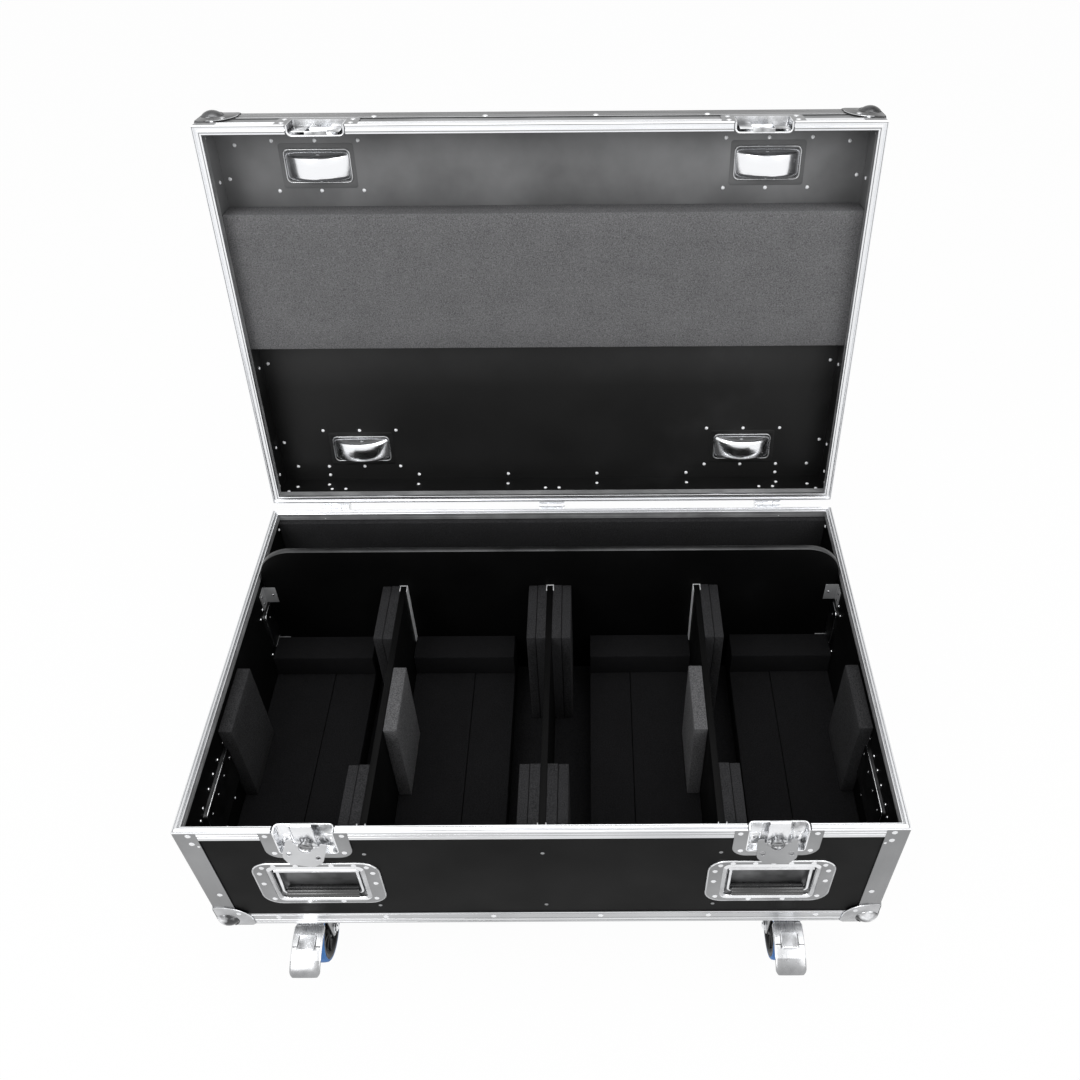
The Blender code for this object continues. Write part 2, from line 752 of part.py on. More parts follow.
def handle_bail():
    """Pivot bar, two bent arms and a grip, about the pivot's axis."""
    deepest = (PIVOT_DEPTH + PIVOT_RADIUS) / PAN_DEPTH
    half = PAN_WIDTH / 2 - PAN_TAPER * deepest - GAP
    arm_x = half - ARM_INSET
    grip_y = PAN_DEPTH - GAP - GRIP_RADIUS - PIVOT_DEPTH
    grip_z = -(PIVOT_RISE + GRIP_DROP)
    end = PIVOT_RADIUS / 2
    profile = [(0, half), (PIVOT_RADIUS - end, half), (PIVOT_RADIUS, half - end)]
    profile += [(PIVOT_RADIUS, end - half), (PIVOT_RADIUS - end, -half), (0, -half)]
    bail = turned("handle_bail_pattern", profile, "X", 8)
    bend = ARM_RADIUS * 2
    path = [(-arm_x, 0, 0), (-arm_x, grip_y, grip_z + bend), (bend - arm_x, grip_y, grip_z)]
    path += [(arm_x - bend, grip_y, grip_z), (arm_x, grip_y, grip_z + bend), (arm_x, 0, 0)]
    join(bail, tube("arms", path, ARM_RADIUS))
    reach = GRIP_LENGTH / 2
    grip_edge = GRIP_RADIUS / 4
    outline = [(0, reach), (GRIP_RADIUS - grip_edge, reach), (GRIP_RADIUS, reach - grip_edge)]
    outline += [(GRIP_RADIUS, grip_edge - reach), (GRIP_RADIUS - grip_edge, -reach), (0, -reach)]
    grip = turned("grip", outline, "X", 12)
    grip.location = (0, grip_y, grip_z)
    join(bail, grip)
    return baked(bail)


def handles(root):
    dish = handle_dish()
    bail = handle_bail()
    for name, place, turn_deg in handle_places():
        keep(placed("handle_dish_" + name, dish, place, turn_deg), "zinc", root)
        turn = Matrix.Rotation(math.radians(turn_deg), 3, "Z")
        pivot = Vector(place) + turn @ Vector((0, PIVOT_DEPTH, PIVOT_RISE))
        axis = carrier("pivot_" + name, pivot, root)
        keep(placed("handle_bail_" + name, bail, pivot, turn_deg), "chrome", axis)
    drop(dish)
    drop(bail)


# Latches
def pocket_outline(width, depth, corner):
    """Plan of a pocket behind the case plane, its back corners rounded."""
    half = width / 2
    outline = [(-half, 0), (half, 0)]
    outline += arc((half - corner, depth - corner), corner, 0, 90, 3)
    outline += arc((corner - half, depth - corner), corner, 90, 180, 3)
    return outline


def latch_dish():
    half = DISH_WIDTH / 2
    low = DISH_CORNER - DISH_HEIGHT
    outline = arc((DISH_CORNER - half, low), DISH_CORNER, 180, 270, 4)
    outline += arc((half - DISH_CORNER, low), DISH_CORNER, 270, 360, 4)
    outline += [(half, -SKIN), (-half, -SKIN)]
    dish = prism("latch_dish_pattern", [outline], 0, METAL, "Y")
    plan = pocket_outline(POCKET_WIDTH, POCKET_DEPTH, POCKET_CORNER)
    join(dish, prism("pocket", [plan], -POCKET_HEIGHT, 0))
    inner = pocket_outline(POCKET_WIDTH - METAL * 2, POCKET_DEPTH - METAL, POCKET_CORNER - METAL)
    inner = [(u, v - OVERRUN if v == 0 else v) for u, v in inner]
    cut(dish, prism("hollow", [inner], METAL - POCKET_HEIGHT, OVERRUN))
    return baked(dish)


def latch_hub():
    """Rotor: base, shaft and round head, with the cross pin that the wing folds on."""
    back = POCKET_DEPTH - METAL - GAP
    base = back - HUB_BASE_THICK
    head = -HUB_HEAD_LIFT
    face = head - HUB_HEAD_THICK
    profile = [(0, -face), (HUB_HEAD_RADIUS, -face), (HUB_HEAD_RADIUS, -head), (HUB_RADIUS, -head)]
    profile += [(HUB_RADIUS, -base), (HUB_BASE_RADIUS, -base), (HUB_BASE_RADIUS, -back), (0, -back)]
    hub = turned("latch_hub_pattern", profile, "Y", 16)
    reach = HUB_HEAD_RADIUS + RUNNING + KNUCKLE_LENGTH
    join(hub, rod("cross_pin", CROSS_PIN_RADIUS, -reach, reach, "X", (FOLD_Y, 0), 8))
    return baked(hub)


def latch_wing():
    """Butterfly wing about its fold axis, hanging down from two knuckles."""
    half = WING_WIDTH / 2
    knuckle = CROSS_PIN_RADIUS + GAP + KNUCKLE_WALL
    notch = HUB_HEAD_RADIUS + RUNNING
    outline = [(-half, knuckle), (-half, -WING_SHOULDER), (-WING_TOE / 2, -WING_HEIGHT)]
    outline += [(WING_TOE / 2, -WING_HEIGHT), (half, -WING_SHOULDER), (half, knuckle)]
    outline += [(notch, knuckle)] + arc((0, 0), notch, 0, -180, 6) + [(-notch, knuckle)]
    holes = [arc((side * WING_HOLE_X, -WING_HOLE_DROP), WING_HOLE_RADIUS, 0, 315, 7)
             for side in (-1, 1)]
    wing = prism("latch_wing_pattern", [outline, *holes], -WING_THICK / 2, WING_THICK / 2, "Y")
    for side in (-1, 1):
        ends = sorted((side * (notch + LAP / 2), side * (notch + KNUCKLE_LENGTH)))
        join(wing, rod("knuckle", knuckle, ends[0], ends[1], "X", sides=8))
    bore = CROSS_PIN_RADIUS + GAP
    span = notch + KNUCKLE_LENGTH + RUNNING
    cut(wing, rod("bore", bore, -span, span, "X", sides=8))
    return baked(wing)


def latch_hook():
    """Hook plate with a slot round the hub's shaft and a lip folded in at its top."""
    half = HOOK_WIDTH / 2
    bottom = -(HUB_DROP + HOOK_BELOW_HUB)
    outline = rectangle(half, (HOOK_RISE + HOOK_THICK - bottom) / 2)
    middle = (HOOK_RISE + HOOK_THICK + bottom) / 2
    outline = [(u, v + middle) for u, v in outline]
    slot = HUB_RADIUS + LAP
    upper = (0, HOOK_TRAVEL_DOWN - HUB_DROP)
    hole = arc(upper, slot, 0, 180, 6) + arc((0, -HUB_DROP), slot, 180, 360, 6)
    back = HOOK_FACE + HOOK_THICK
    hook = prism("latch_hook_pattern", [outline, hole], HOOK_FACE, back, "Y")
    low = (-half, back - LAP, HOOK_RISE)
    join(hook, box("lip", low, (half, back + HOOK_LIP, HOOK_RISE + HOOK_THICK)))
    return baked(hook)


def latch_keeper():
    """Keeper dish in the lid: flange, pocket and the ledge that the hook pulls down on."""
    flange_bottom = GAP + LID_RIM_BAR + GAP
    flange_top = LID_HEIGHT - ANGLE - GAP
    half = DISH_WIDTH / 2
    corner = flange_top - KEEPER_POCKET_HEIGHT
    outline = [(-half, flange_bottom), (half, flange_bottom)]
    outline += arc((half - corner, flange_top - corner), corner, 0, 90, 3)
    outline += arc((corner - half, flange_top - corner), corner, 90, 180, 3)
    keeper = prism("latch_keeper_pattern", [outline], 0, METAL, "Y")
    plan = pocket_outline(KEEPER_POCKET_WIDTH, KEEPER_POCKET_DEPTH, POCKET_CORNER)
    join(keeper, prism("pocket", [plan], RUNNING, KEEPER_POCKET_HEIGHT))
    inner_width = KEEPER_POCKET_WIDTH - METAL * 2
    inner_depth = KEEPER_POCKET_DEPTH - METAL
    inner = pocket_outline(inner_width, inner_depth, POCKET_CORNER - METAL)
    inner = [(u, v - OVERRUN if v == 0 else v) for u, v in inner]
    cut(keeper, prism("hollow", [inner], -OVERRUN, KEEPER_POCKET_HEIGHT - METAL))
    ledge_front = HOOK_FACE + HOOK_TRAVEL_IN + HOOK_THICK + GAP
    ledge_top = HOOK_RISE - HOOK_TRAVEL_DOWN - GAP
    ledge_half = inner_width / 2 - POCKET_CORNER
    low = (-ledge_half, ledge_front, RUNNING)
    join(keeper, box("ledge", low, (ledge_half, inner_depth + LAP, ledge_top)))
    return baked(keeper)


def latches(root, lid):
    dish = latch_dish()
    hub = latch_hub()
    wing = latch_wing()
    hook = latch_hook()
    keeper = latch_keeper()
    turned_axes = []
    for side, label in ((-1, "left"), (1, "right")):
        corner = (side * LATCH_X, FRONT, RIM)
        keep(placed("latch_dish_" + label, dish, corner), "zinc", root)
        keep(placed("latch_keeper_" + label, keeper, corner), "zinc", lid)
        hub_place = (side * LATCH_X, FRONT, HUB_Z)
        hub_axis = carrier("hub_axis_" + label, hub_place, root)
        keep(placed("latch_hub_" + label, hub, hub_place), "zinc", hub_axis)
        fold_place = (side * LATCH_X, FRONT + FOLD_Y, HUB_Z)
        fold_axis = carrier("fold_axis_" + label, fold_place, hub_axis)
        keep(placed("latch_wing_" + label, wing, fold_place), "zinc", fold_axis)
        turn_deg = LEFT_WING_TURN_DEG if side < 0 else 0
        turned_axes.append((hub_axis, "Y", turn_deg))
        turned_axes.append((fold_axis, "X", -WING_REST_DEG))
        share = turn_deg / HALF_TURN_DEG
        drawn = Vector((0, HOOK_TRAVEL_IN, -HOOK_TRAVEL_DOWN)) * share
        keep(placed("latch_hook_" + label, hook, Vector(corner) + drawn), "zinc", root)
    for pattern in (dish, hub, wing, hook, keeper):
        drop(pattern)
    return turned_axes


# Hinges
def lid_leaf(x):
    """Lid side of a hinge: leaf with its seat on the rim's flange and a bored middle knuckle."""
    half = HINGE_WIDTH / 2
    middle = HINGE_MIDDLE / 2
    leaf_face = BACK + GAP + HINGE_LEAF
    leaf_top = RIM + HINGE_DROP - RUNNING
    seat_bottom = RIM + LAP
    seat_top = RIM + RIM_FLANGE - RUNNING
    outline = [(BACK - METAL / 2, seat_bottom), (leaf_face, seat_bottom), (leaf_face, leaf_top)]
    outline += [(BACK + GAP, leaf_top), (BACK + GAP, seat_top), (BACK - METAL / 2, seat_top)]
    leaf = prism("leaf", [outline], x - half, x + half, "X")
    knuckle = rod("middle_knuckle", HINGE_KNUCKLE, x - middle, x + middle, "X", (HINGE_Y, RIM), 12)
    web_top = RIM + HINGE_KNUCKLE * KNUCKLE_WEB_SHARE
    web_low = (x - middle + LAP, BACK + GAP + LAP, seat_bottom + LAP)
    web = box("web", web_low, (x + middle - LAP, HINGE_Y, web_top))
    bore = HINGE_PIN_RADIUS + GAP
    reach = middle + OVERRUN
    hole = rod("pin_bore", bore, x - reach, x + reach, "X", (HINGE_Y, RIM), 10)
    join(leaf, knuckle, web)
    return cut(leaf, hole)


def stay_outline():
    """Ear under the open lid's leaf: its top edge lies along the leaf, in (y, z) about the hinge axis."""
    lean = math.radians(LID_OPEN_DEG)
    leaf_back = HINGE_STANDOFF - GAP - HINGE_LEAF

    def under_leaf(along):
        y = -leaf_back * math.cos(lean) + along * math.sin(lean)
        z = leaf_back * math.sin(lean) + along * math.cos(lean)
        return (y, z - GAP / math.sin(lean))

    near = under_leaf(0)
    far = under_leaf(STAY_REACH)
    root_y = GAP + LAP - HINGE_STANDOFF
    return [(root_y, -STAY_ROOT), (far[0], far[1] - STAY_TOE), far, near, (root_y, -RUNNING - LAP)]


def tub_leaf():
    """Tub side of a hinge, about the middle of its axis: leaf, outer knuckles, pin and stay ears."""
    half = HINGE_WIDTH / 2
    middle = HINGE_MIDDLE / 2 + GAP
    inner = GAP - HINGE_STANDOFF
    face = inner + HINGE_LEAF
    leaf = box("hinge_pattern", (-half, inner, -HINGE_DROP), (half, face, -RUNNING))
    for side in (-1, 1):
        ends = sorted((side * middle, side * half))
        join(leaf, rod("knuckle", HINGE_KNUCKLE, ends[0], ends[1], "X", sides=12))
        web_low = (ends[0] + LAP, inner + LAP, -HINGE_KNUCKLE * KNUCKLE_WEB_SHARE)
        join(leaf, box("web", web_low, (ends[1] - LAP, 0, -RUNNING - LAP)))
        ear = sorted((side * (half - LAP), side * (half - STAY_THICK)))
        join(leaf, prism("stay", [stay_outline()], ear[0], ear[1], "X"))
    join(leaf, rod("pin", HINGE_PIN_RADIUS, -half / 2, half / 2, "X", sides=10))
    return baked(leaf)


def hinges(root):
    pattern = tub_leaf()
    for side, label in ((-1, "left"), (0, "centre"), (1, "right")):
        place = (side * HINGE_X, HINGE_Y, RIM)
        keep(placed("hinge_" + label, pattern, place), "zinc", root)
    drop(pattern)


# Rear board and dividers
def rear_board(root):
    half = HALF_WIDTH - BOARD_INSET
    top = RIM + BOARD_RISE
    bottom = SHEET_TOP - BOARD_SINK + GAP
    outline = [(-half, bottom), (half, bottom)]
    outline += arc((half - BOARD_CORNER, top - BOARD_CORNER), BOARD_CORNER, 0, 90, 8)
    outline += arc((BOARD_CORNER - half, top - BOARD_CORNER), BOARD_CORNER, 90, 180, 8)
    board = prism("rear_board", [outline], BOARD_FACE, BOARD_FACE + BOARD_PLY, "Y")
    for side in (-1, 0, 1):
        join(board, channel("rear_channel", side * DIVIDER_PITCH, BOARD_FACE, -1))
    for side in (-1, 1):
        for drop_down in (BRACKET_DROP, LOW_BRACKET_DROP):
            join(board, bracket("bracket", side, drop_down, 0))
    return keep(board, "laminate", root)


def bracket(name, side, drop_down, clear):
    """L bracket between the board's face and a side wall; clear grows it into its own hollow."""
    edge = HALF_WIDTH - WALL_INNER - GAP
    root_x = HALF_WIDTH - BOARD_INSET - BRACKET_BOARD_LEG
    outer = edge + clear * 2
    bend_x = edge - METAL - clear
    bend_y = BOARD_FACE - METAL - clear
    toe_y = BOARD_FACE - BRACKET_WALL_LEG - clear
    outline = [(root_x - clear, BOARD_FACE + LAP), (root_x - clear, bend_y), (bend_x, bend_y)]
    outline += [(bend_x, toe_y), (outer, toe_y), (outer, BOARD_FACE + LAP)]
    points = [(side * u, v) for u, v in outline]
    top = RIM - drop_down
    return prism(name, [points], top - BRACKET_HEIGHT - clear, top + clear)


def pad(x_face, side, thick, start, end):
    """A foam pad glued to a divider's face, between two distances from the front of the case."""
    near = x_face - side * LAP
    far = x_face + side * thick
    low = (min(near, far), FRONT + start, SHEET_TOP + GAP)
    return box("pad", low, (max(near, far), FRONT + end, INSERT_TOP))


def divider(label, x, left_pad, right_pad, root):
    """A divider board with its pads: double ones at both ends, or a single one in the middle."""
    start = INNER_FRONT + METAL
    end = BOARD_FACE - METAL - GAP
    half = BOARD_PLY / 2
    low = (x - half, start, SHEET_TOP + GAP)
    board = box("divider_" + label, low, (x + half, end, INSERT_TOP))
    for side, kind in ((-1, left_pad), (1, right_pad)):
        face = x + side * half
        if kind == "double":
            join(board, pad(face, side, DOUBLE_PAD, *FRONT_PAD))
            join(board, pad(face, side, DOUBLE_PAD, REAR_PAD_START, BOARD_PLACE - GAP))
        else:
            join(board, pad(face, side, SINGLE_PAD, *MIDDLE_PAD))
    legs = CHANNEL_WIDTH / 2 + GAP
    for side in (-1, 1):
        near = x + side * half
        far = x + side * legs
        for mouth_start, mouth_end in (
            (FRONT, FRONT + WALL_INNER + CHANNEL_WIDTH + GAP),
            (BOARD_FACE - CHANNEL_WIDTH - GAP, BOARD_FACE + OVERRUN),
        ):
            low = (min(near, far), mouth_start, BASE)
            high = (max(near, far), mouth_end, RIM)
            cut(board, box("leg_notch", low, high))
    cut(board, box("web_notch", (x - legs, end, BASE), (x + legs, BOARD_FACE + OVERRUN, RIM)))
    return keep(board, "laminate", root)


def dividers(root):
    divider("left", -DIVIDER_PITCH, "double", "single", root)
    divider("centre", 0, "double", "double", root)
    divider("right", DIVIDER_PITCH, "single", "double", root)


# Foam
def foam_lining(root):
    """Floor sheet with the rear board's groove, bay blocks with raised rear steps and notches for the
    dividers' middle pads, wall pads and the compartment's back sheet."""
    bottom = FLOOR_PLY_TOP + GAP
    lining = box("foam_lining", (-INNER_X, INNER_FRONT, bottom), (INNER_X, INNER_BACK, SHEET_TOP))
    half_ply = BOARD_PLY / 2 + GAP
    block_top = RIM - BAY_BLOCK_DROP
    step_start = BOARD_FACE - STEP_DEPTH
    inside = SHEET_TOP - LAP
    for side in (-1, 1):
        bays = (
            (half_ply + PAD_SLOT, DIVIDER_PITCH - half_ply),
            (DIVIDER_PITCH + half_ply + PAD_SLOT, INNER_X),
        )
        for near, far in bays:
            ends = sorted((side * near, side * far))
            low = (ends[0], INNER_FRONT + METAL + CHANNEL_WIDTH, inside)
            join(lining, box("block", low, (ends[1], step_start + LAP, block_top)))
            low = (ends[0], step_start, inside)
            join(lining, box("step", low, (ends[1], BOARD_FACE - GAP, RIM - STEP_DROP)))
        wall = side * INNER_X
        face = side * (INNER_X - SINGLE_PAD)
        low = (min(wall, face), FRONT + MIDDLE_PAD[0], block_top - LAP)
        join(lining, box("wall_pad", low, (max(wall, face), FRONT + MIDDLE_PAD[1], INSERT_TOP)))
    low = (-INNER_X, INNER_BACK - COMPARTMENT_FOAM, inside)
    join(lining, box("back_sheet", low, (INNER_X, INNER_BACK, RIM - RIM_LIP - RUNNING)))
    low = (-INNER_X - OVERRUN, BOARD_FACE - GAP, SHEET_TOP - BOARD_SINK)
    cut(lining, box("board_groove", low, (INNER_X + OVERRUN, BOARD_FACE + BOARD_PLY + GAP, RIM)))
    room = CHANNEL_WIDTH / 2 + GAP
    for side in (-1, 1):
        x = side * DIVIDER_PITCH
        low = (x - room, BOARD_FACE - CHANNEL_WIDTH - GAP, SHEET_TOP)
        cut(lining, box("channel_room", low, (x + room, BOARD_FACE + OVERRUN, RIM)))
        near = side * (DIVIDER_PITCH - BOARD_PLY / 2 - SINGLE_PAD - GAP)
        low = (min(near, x), FRONT + MIDDLE_PAD[0] - GAP, SHEET_TOP)
        cut(lining, box("pad_notch", low, (max(near, x), FRONT + MIDDLE_PAD[1] + GAP, RIM)))
        cut(lining, bracket("bracket_room", side, LOW_BRACKET_DROP, GAP))
        for reach in SIDE_HANDLE_PLACES:
            cut(lining, pan_room(side, reach))
    return keep(lining, "foam", root)


def pan_room(side, reach):
    """Room in the foam for the back of a side handle's pan."""
    half_width = PAN_WIDTH / 2 + METAL + RUNNING
    half_height = PAN_HEIGHT / 2 + METAL + RUNNING
    middle = RIM - SIDE_HANDLE_DROP
    near = side * (HALF_WIDTH - PAN_DEPTH - METAL - RUNNING)
    far = side * (HALF_WIDTH + OVERRUN)
    low = (min(near, far), FRONT + reach - half_width, middle - half_height)
    return box("pan_room", low, (max(near, far), FRONT + reach + half_width, middle + half_height))


def lid_foam(lid):
    top = TOP - SKIN - WALL_PLY - GAP
    low = (-INNER_X, FRONT + LID_FOAM[0], top - LID_FOAM_THICK)
    return keep(box("lid_foam", low, (INNER_X, FRONT + LID_FOAM[1], top)), "foam", lid)


# Lid
def castor_dish_places():
    places = []
    for end, y in (("front", FRONT + CASTOR_DISH_INSET), ("rear", BACK - CASTOR_DISH_INSET)):
        for side, label in ((-1, "left"), (1, "right")):
            places.append((end + "_" + label, (side * CASTOR_DISH_X, y, TOP)))
    return places


def trough_outline(length, sink):
    """Section of a wheel trough below its mouth: an arc through the mouth's ends."""
    half = length / 2
    radius = (half * half + sink * sink) / (sink * 2)
    swing = math.degrees(math.asin(half / radius))
    return arc((0, radius - sink), radius, 270 - swing, 270 + swing, 8)


def castor_dish():
    """Pressed dish that takes the wheel of a case stacked on top."""
    flange = rounded(CASTOR_DISH_WIDTH, CASTOR_DISH_DEPTH, CASTOR_DISH_CORNER, 2)
    dish = prism("castor_dish_pattern", [flange], -METAL, 0)
    shell = trough_outline(TROUGH_LENGTH + METAL * 2, TROUGH_SINK + METAL)
    half = TROUGH_WIDTH / 2
    join(dish, prism("trough", [shell], -half - METAL, half + METAL, "Y"))
    hollow = trough_outline(TROUGH_LENGTH, TROUGH_SINK)
    hollow += [(TROUGH_LENGTH / 2, OVERRUN), (-TROUGH_LENGTH / 2, OVERRUN)]
    cut(dish, prism("hollow", [hollow], -half, half, "Y"))
    return baked(dish)


def lid_shell(lid):
    """Plywood top and walls, open below; its corners give way to the ball corners."""
    face = TOP - SKIN
    bottom = LID_BOTTOM + LID_RIM_BAR + GAP
    shell = cornered_box("lid_shell", SKIN, bottom, face, BALL_INSET - SKIN, face)
    inner_y = HALF_DEPTH - WALL_INNER
    low = (WALL_INNER - HALF_WIDTH, -inner_y, bottom - OVERRUN)
    high = (HALF_WIDTH - WALL_INNER, inner_y, face - WALL_PLY)
    cut(shell, box("lid_room", low, high))
    half_u = TROUGH_LENGTH / 2 + METAL + RUNNING
    half_v = TROUGH_WIDTH / 2 + METAL + RUNNING
    for name, place in castor_dish_places():
        low = (place[0] - half_u, place[1] - half_v, face - WALL_PLY - OVERRUN)
        cut(shell, box("hole_" + name, low, (place[0] + half_u, place[1] + half_v, TOP)))
    reach = KEEPER_POCKET_WIDTH / 2 + RUNNING
    for side in (-1, 1):
        low = (side * LATCH_X - reach, FRONT - OVERRUN, RIM - OVERRUN)
        high = (side * LATCH_X + reach, FRONT + WALL_INNER + OVERRUN, RIM + KEEPER_POCKET_HEIGHT + RUNNING)
        cut(shell, box("keeper_notch", low, high))
    return keep(shell, "laminate", lid)


def castor_dishes(lid):
    pattern = castor_dish()
    for name, place in castor_dish_places():
        keep(placed("castor_dish_" + name, pattern, place), "zinc", lid)
    drop(pattern)


# Castors, built about the swivel axis at the underside of the case, trailing to the front
def castor_plate():
    top = -GAP
    under = top - CASTOR_PLATE_THICK
    outline = rounded(CASTOR_PLATE_WIDTH, CASTOR_PLATE_LENGTH, CASTOR_PLATE_CORNER, 2)
    plate = prism("castor_plate_pattern", [outline], under, top)
    join(plate, rod("race", RACE_RADIUS, under - RACE_HEIGHT, under + LAP, "Z", sides=20))
    return baked(plate)


def crown_top():
    return -(GAP + CASTOR_PLATE_THICK + RACE_HEIGHT + GAP)


def axle_place():
    """Axle's place in (y, z) about the swivel axis at the underside of the case."""
    return (-CASTOR_TRAIL, WHEEL_RADIUS - CASTOR_HEIGHT)


def castor_fork(name, braked):
    top = crown_top()
    under = top - CROWN_HEIGHT
    fork = rod(name, CROWN_RADIUS, under, top, "Z", sides=16)
    eye = axle_place()
    toe = PEDAL_AXIS_REACH + PEDAL_BARREL_RADIUS if braked else LEG_HEEL + CASTOR_TRAIL / 2
    inner = WHEEL_WIDTH / 2 + LEG_GAP
    outline = [(LEG_HEEL, top - LAP), (-toe, top - CROWN_HEIGHT / 2), (-toe, under - PEDAL_BARREL_RADIUS)]
    outline += arc(eye, LEG_EYE, 180, 345, 5)
    outline += [(LEG_HEEL, under)]
    for side in (-1, 1):
        ends = sorted((side * inner, side * (inner + LEG_THICK)))
        join(fork, prism("leg", [outline], ends[0], ends[1], "X"))
    reach = inner + LEG_THICK + NUT_THICK
    join(fork, rod("axle", AXLE_RADIUS, -reach, reach, "X", eye, 10))
    for side in (-1, 1):
        ends = sorted((side * (inner + LEG_THICK - LAP), side * (reach - LAP)))
        join(fork, rod("nut", NUT_RADIUS, ends[0], ends[1], "X", eye, 6))
    if braked:
        pin_reach = inner + LEG_THICK + LAP
        pin_place = (-PEDAL_AXIS_REACH, -PEDAL_AXIS_DROP)
        join(fork, rod("pedal_pin", PEDAL_PIN_RADIUS, -pin_reach, pin_reach, "X", pin_place, 8))
    return baked(fork)


def castor_wheel():
    """Wheel with a dished core, a hub that nearly fills the fork and a rounded tread."""
    half = WHEEL_WIDTH / 2
    core = WHEEL_RADIUS - TREAD_DEPTH
    bore = AXLE_RADIUS + GAP
    hub_half = half + LEG_GAP - GAP
    round_off = WHEEL_WIDTH / 8
    upper = [(bore, hub_half), (WHEEL_HUB_RADIUS, hub_half), (WHEEL_HUB_RADIUS, half - WHEEL_DISH)]
    upper += [(core, half), (WHEEL_RADIUS - round_off, half), (WHEEL_RADIUS, half - round_off * 2)]
    lower = [(radius, -height) for radius, height in reversed(upper)]
    return turned("castor_wheel_pattern", upper + lower, "X", 20, ring=True)


def pedal_line():
    """Middle line of the pedal in (y, z) about its pivot, curving down to the toe."""
    shares = zip(PEDAL_REACH_SHARES, PEDAL_FALL_SHARES)
    return [(-PEDAL_REACH * reach_share, -PEDAL_FALL * fall_share) for reach_share, fall_share in shares]


def thickened(line, lift):
    """Points of a line moved square to it."""
    points = []
    for i, point in enumerate(line):
        before = Vector(line[max(i - 1, 0)])
        after = Vector(line[min(i + 1, len(line) - 1)])
        along = (after - before).normalized()
        points.append((point[0] + along[1] * lift, point[1] - along[0] * lift))
    return points


def castor_pedal():
    line = pedal_line()
    half_thick = PEDAL_THICK / 2
    outline = thickened(line, half_thick) + thickened(line, -half_thick)[::-1]
    half = PEDAL_WIDTH / 2
    pedal = prism("castor_pedal_pattern", [outline], -half, half, "X")
    inner = WHEEL_WIDTH / 2 + LEG_GAP - RUNNING
    low_z = -PEDAL_FALL
    for side in (-1, 1):
        ends = sorted((side * inner, side * (half + OVERRUN)))
        low = (ends[0], -PEDAL_ROOT, low_z)
        cut(pedal, box("root_side", low, (ends[1], OVERRUN, OVERRUN)))
    join(pedal, rod("barrel", PEDAL_BARREL_RADIUS, -inner, inner, "X", sides=12))
    pad_half = PEDAL_PAD_WIDTH / 2
    pad_low = (-pad_half, -PEDAL_ROOT - PEDAL_PAD_LENGTH, -PEDAL_FALL * PEDAL_PAD_SINK_SHARE)
    pad_high = (pad_half, -PEDAL_ROOT, PEDAL_PAD_THICK)
    join(pedal, box("pad", pad_low, pad_high))
    bore = PEDAL_PIN_RADIUS + GAP
    cut(pedal, rod("pin_bore", bore, -half, half, "X", sides=10))
    return baked(pedal)


def castors(root):
    plate = castor_plate()
    forks = {"front": castor_fork("fork_braked_pattern", True), "rear": castor_fork("fork_pattern", False)}
    wheel = castor_wheel()
    pedal = castor_pedal()
    axle_y, axle_z = axle_place()
    for end, y in (("front", FRONT + CASTOR_INSET), ("rear", BACK - CASTOR_INSET)):
        for side, label in ((-1, "left"), (1, "right")):
            place = Vector((side * CASTOR_X, y, BASE))
            tail = end + "_" + label
            keep(placed("castor_plate_" + tail, plate, place), "zinc", root)
            swivel = carrier("swivel_" + tail, place, root)
            keep(placed("castor_fork_" + tail, forks[end], place), "zinc", swivel)
            axle = place + Vector((0, axle_y, axle_z))
            spin = carrier("axle_" + tail, axle, swivel)
            keep(placed("castor_wheel_" + tail, wheel, axle), "wheel", spin)
            if end == "front":
                hinge = place + Vector((0, -PEDAL_AXIS_REACH, -PEDAL_AXIS_DROP))
                press = carrier("pedal_axis_" + tail, hinge, swivel)
                keep(placed("castor_pedal_" + tail, pedal, hinge), "zinc", press)
    for pattern in (plate, *forks.values(), wheel, pedal):
        drop(pattern)


# Assembly
def seat_riders():
    """Parent every piece where it stands, the tools of its Booleans with it."""
    bpy.context.view_layer.update()
    for rider, parent in RIDES:
        if parent is None:
            continue
        group = [rider]
        while group:
            member = group.pop()
            member.parent = parent
            member.matrix_parent_inverse = parent.matrix_world.inverted()
            group += [step.object for step in member.modifiers if step.type == "BOOLEAN"]


def centre_on_floor(root):
    """Move the case so that the middle of its footprint is the origin."""
    bpy.context.view_layer.update()
    graph = bpy.context.evaluated_depsgraph_get()
    corners = []
    for piece in PARTS.objects:
        if piece.type == "MESH":
            solid = piece.evaluated_get(graph)
            corners += [solid.matrix_world @ vertex.co for vertex in solid.data.vertices]
    for axis in (0, 1):
        places = [corner[axis] for corner in corners]
        root.location[axis] = -(min(places) + max(places)) / 2


def build():
    for leftover in list(bpy.data.objects):
        bpy.data.objects.remove(leftover, do_unlink=True)
    for group in (PARTS, CUTTERS):
        bpy.context.scene.collection.children.link(group)
    root = carrier("case_origin", (0, 0, 0))
    lid = carrier("lid_hinge_axis", (0, HINGE_Y, RIM), root)

    plywood_tub(root)
    tub_rim(root)
    edge_frame("tub_edge_frame", BASE, RIM - METAL - GAP, root)
    rear_board(root)
    dividers(root)
    foam_lining(root)
    handles(root)
    hinges(root)
    castors(root)
    latch_turns = latches(root, lid)
    lid_shell(lid)
    lid_rim(lid)
    edge_frame("lid_edge_frame", TOP, LID_BOTTOM + LID_RIM_BAR + GAP, lid)
    lid_foam(lid)
    castor_dishes(lid)

    seat_riders()
    lid.rotation_euler.x = -math.radians(LID_OPEN_DEG)
    for axis, letter, turn_deg in latch_turns:
        setattr(axis.rotation_euler, letter.lower(), math.radians(turn_deg))
    centre_on_floor(root)


build()
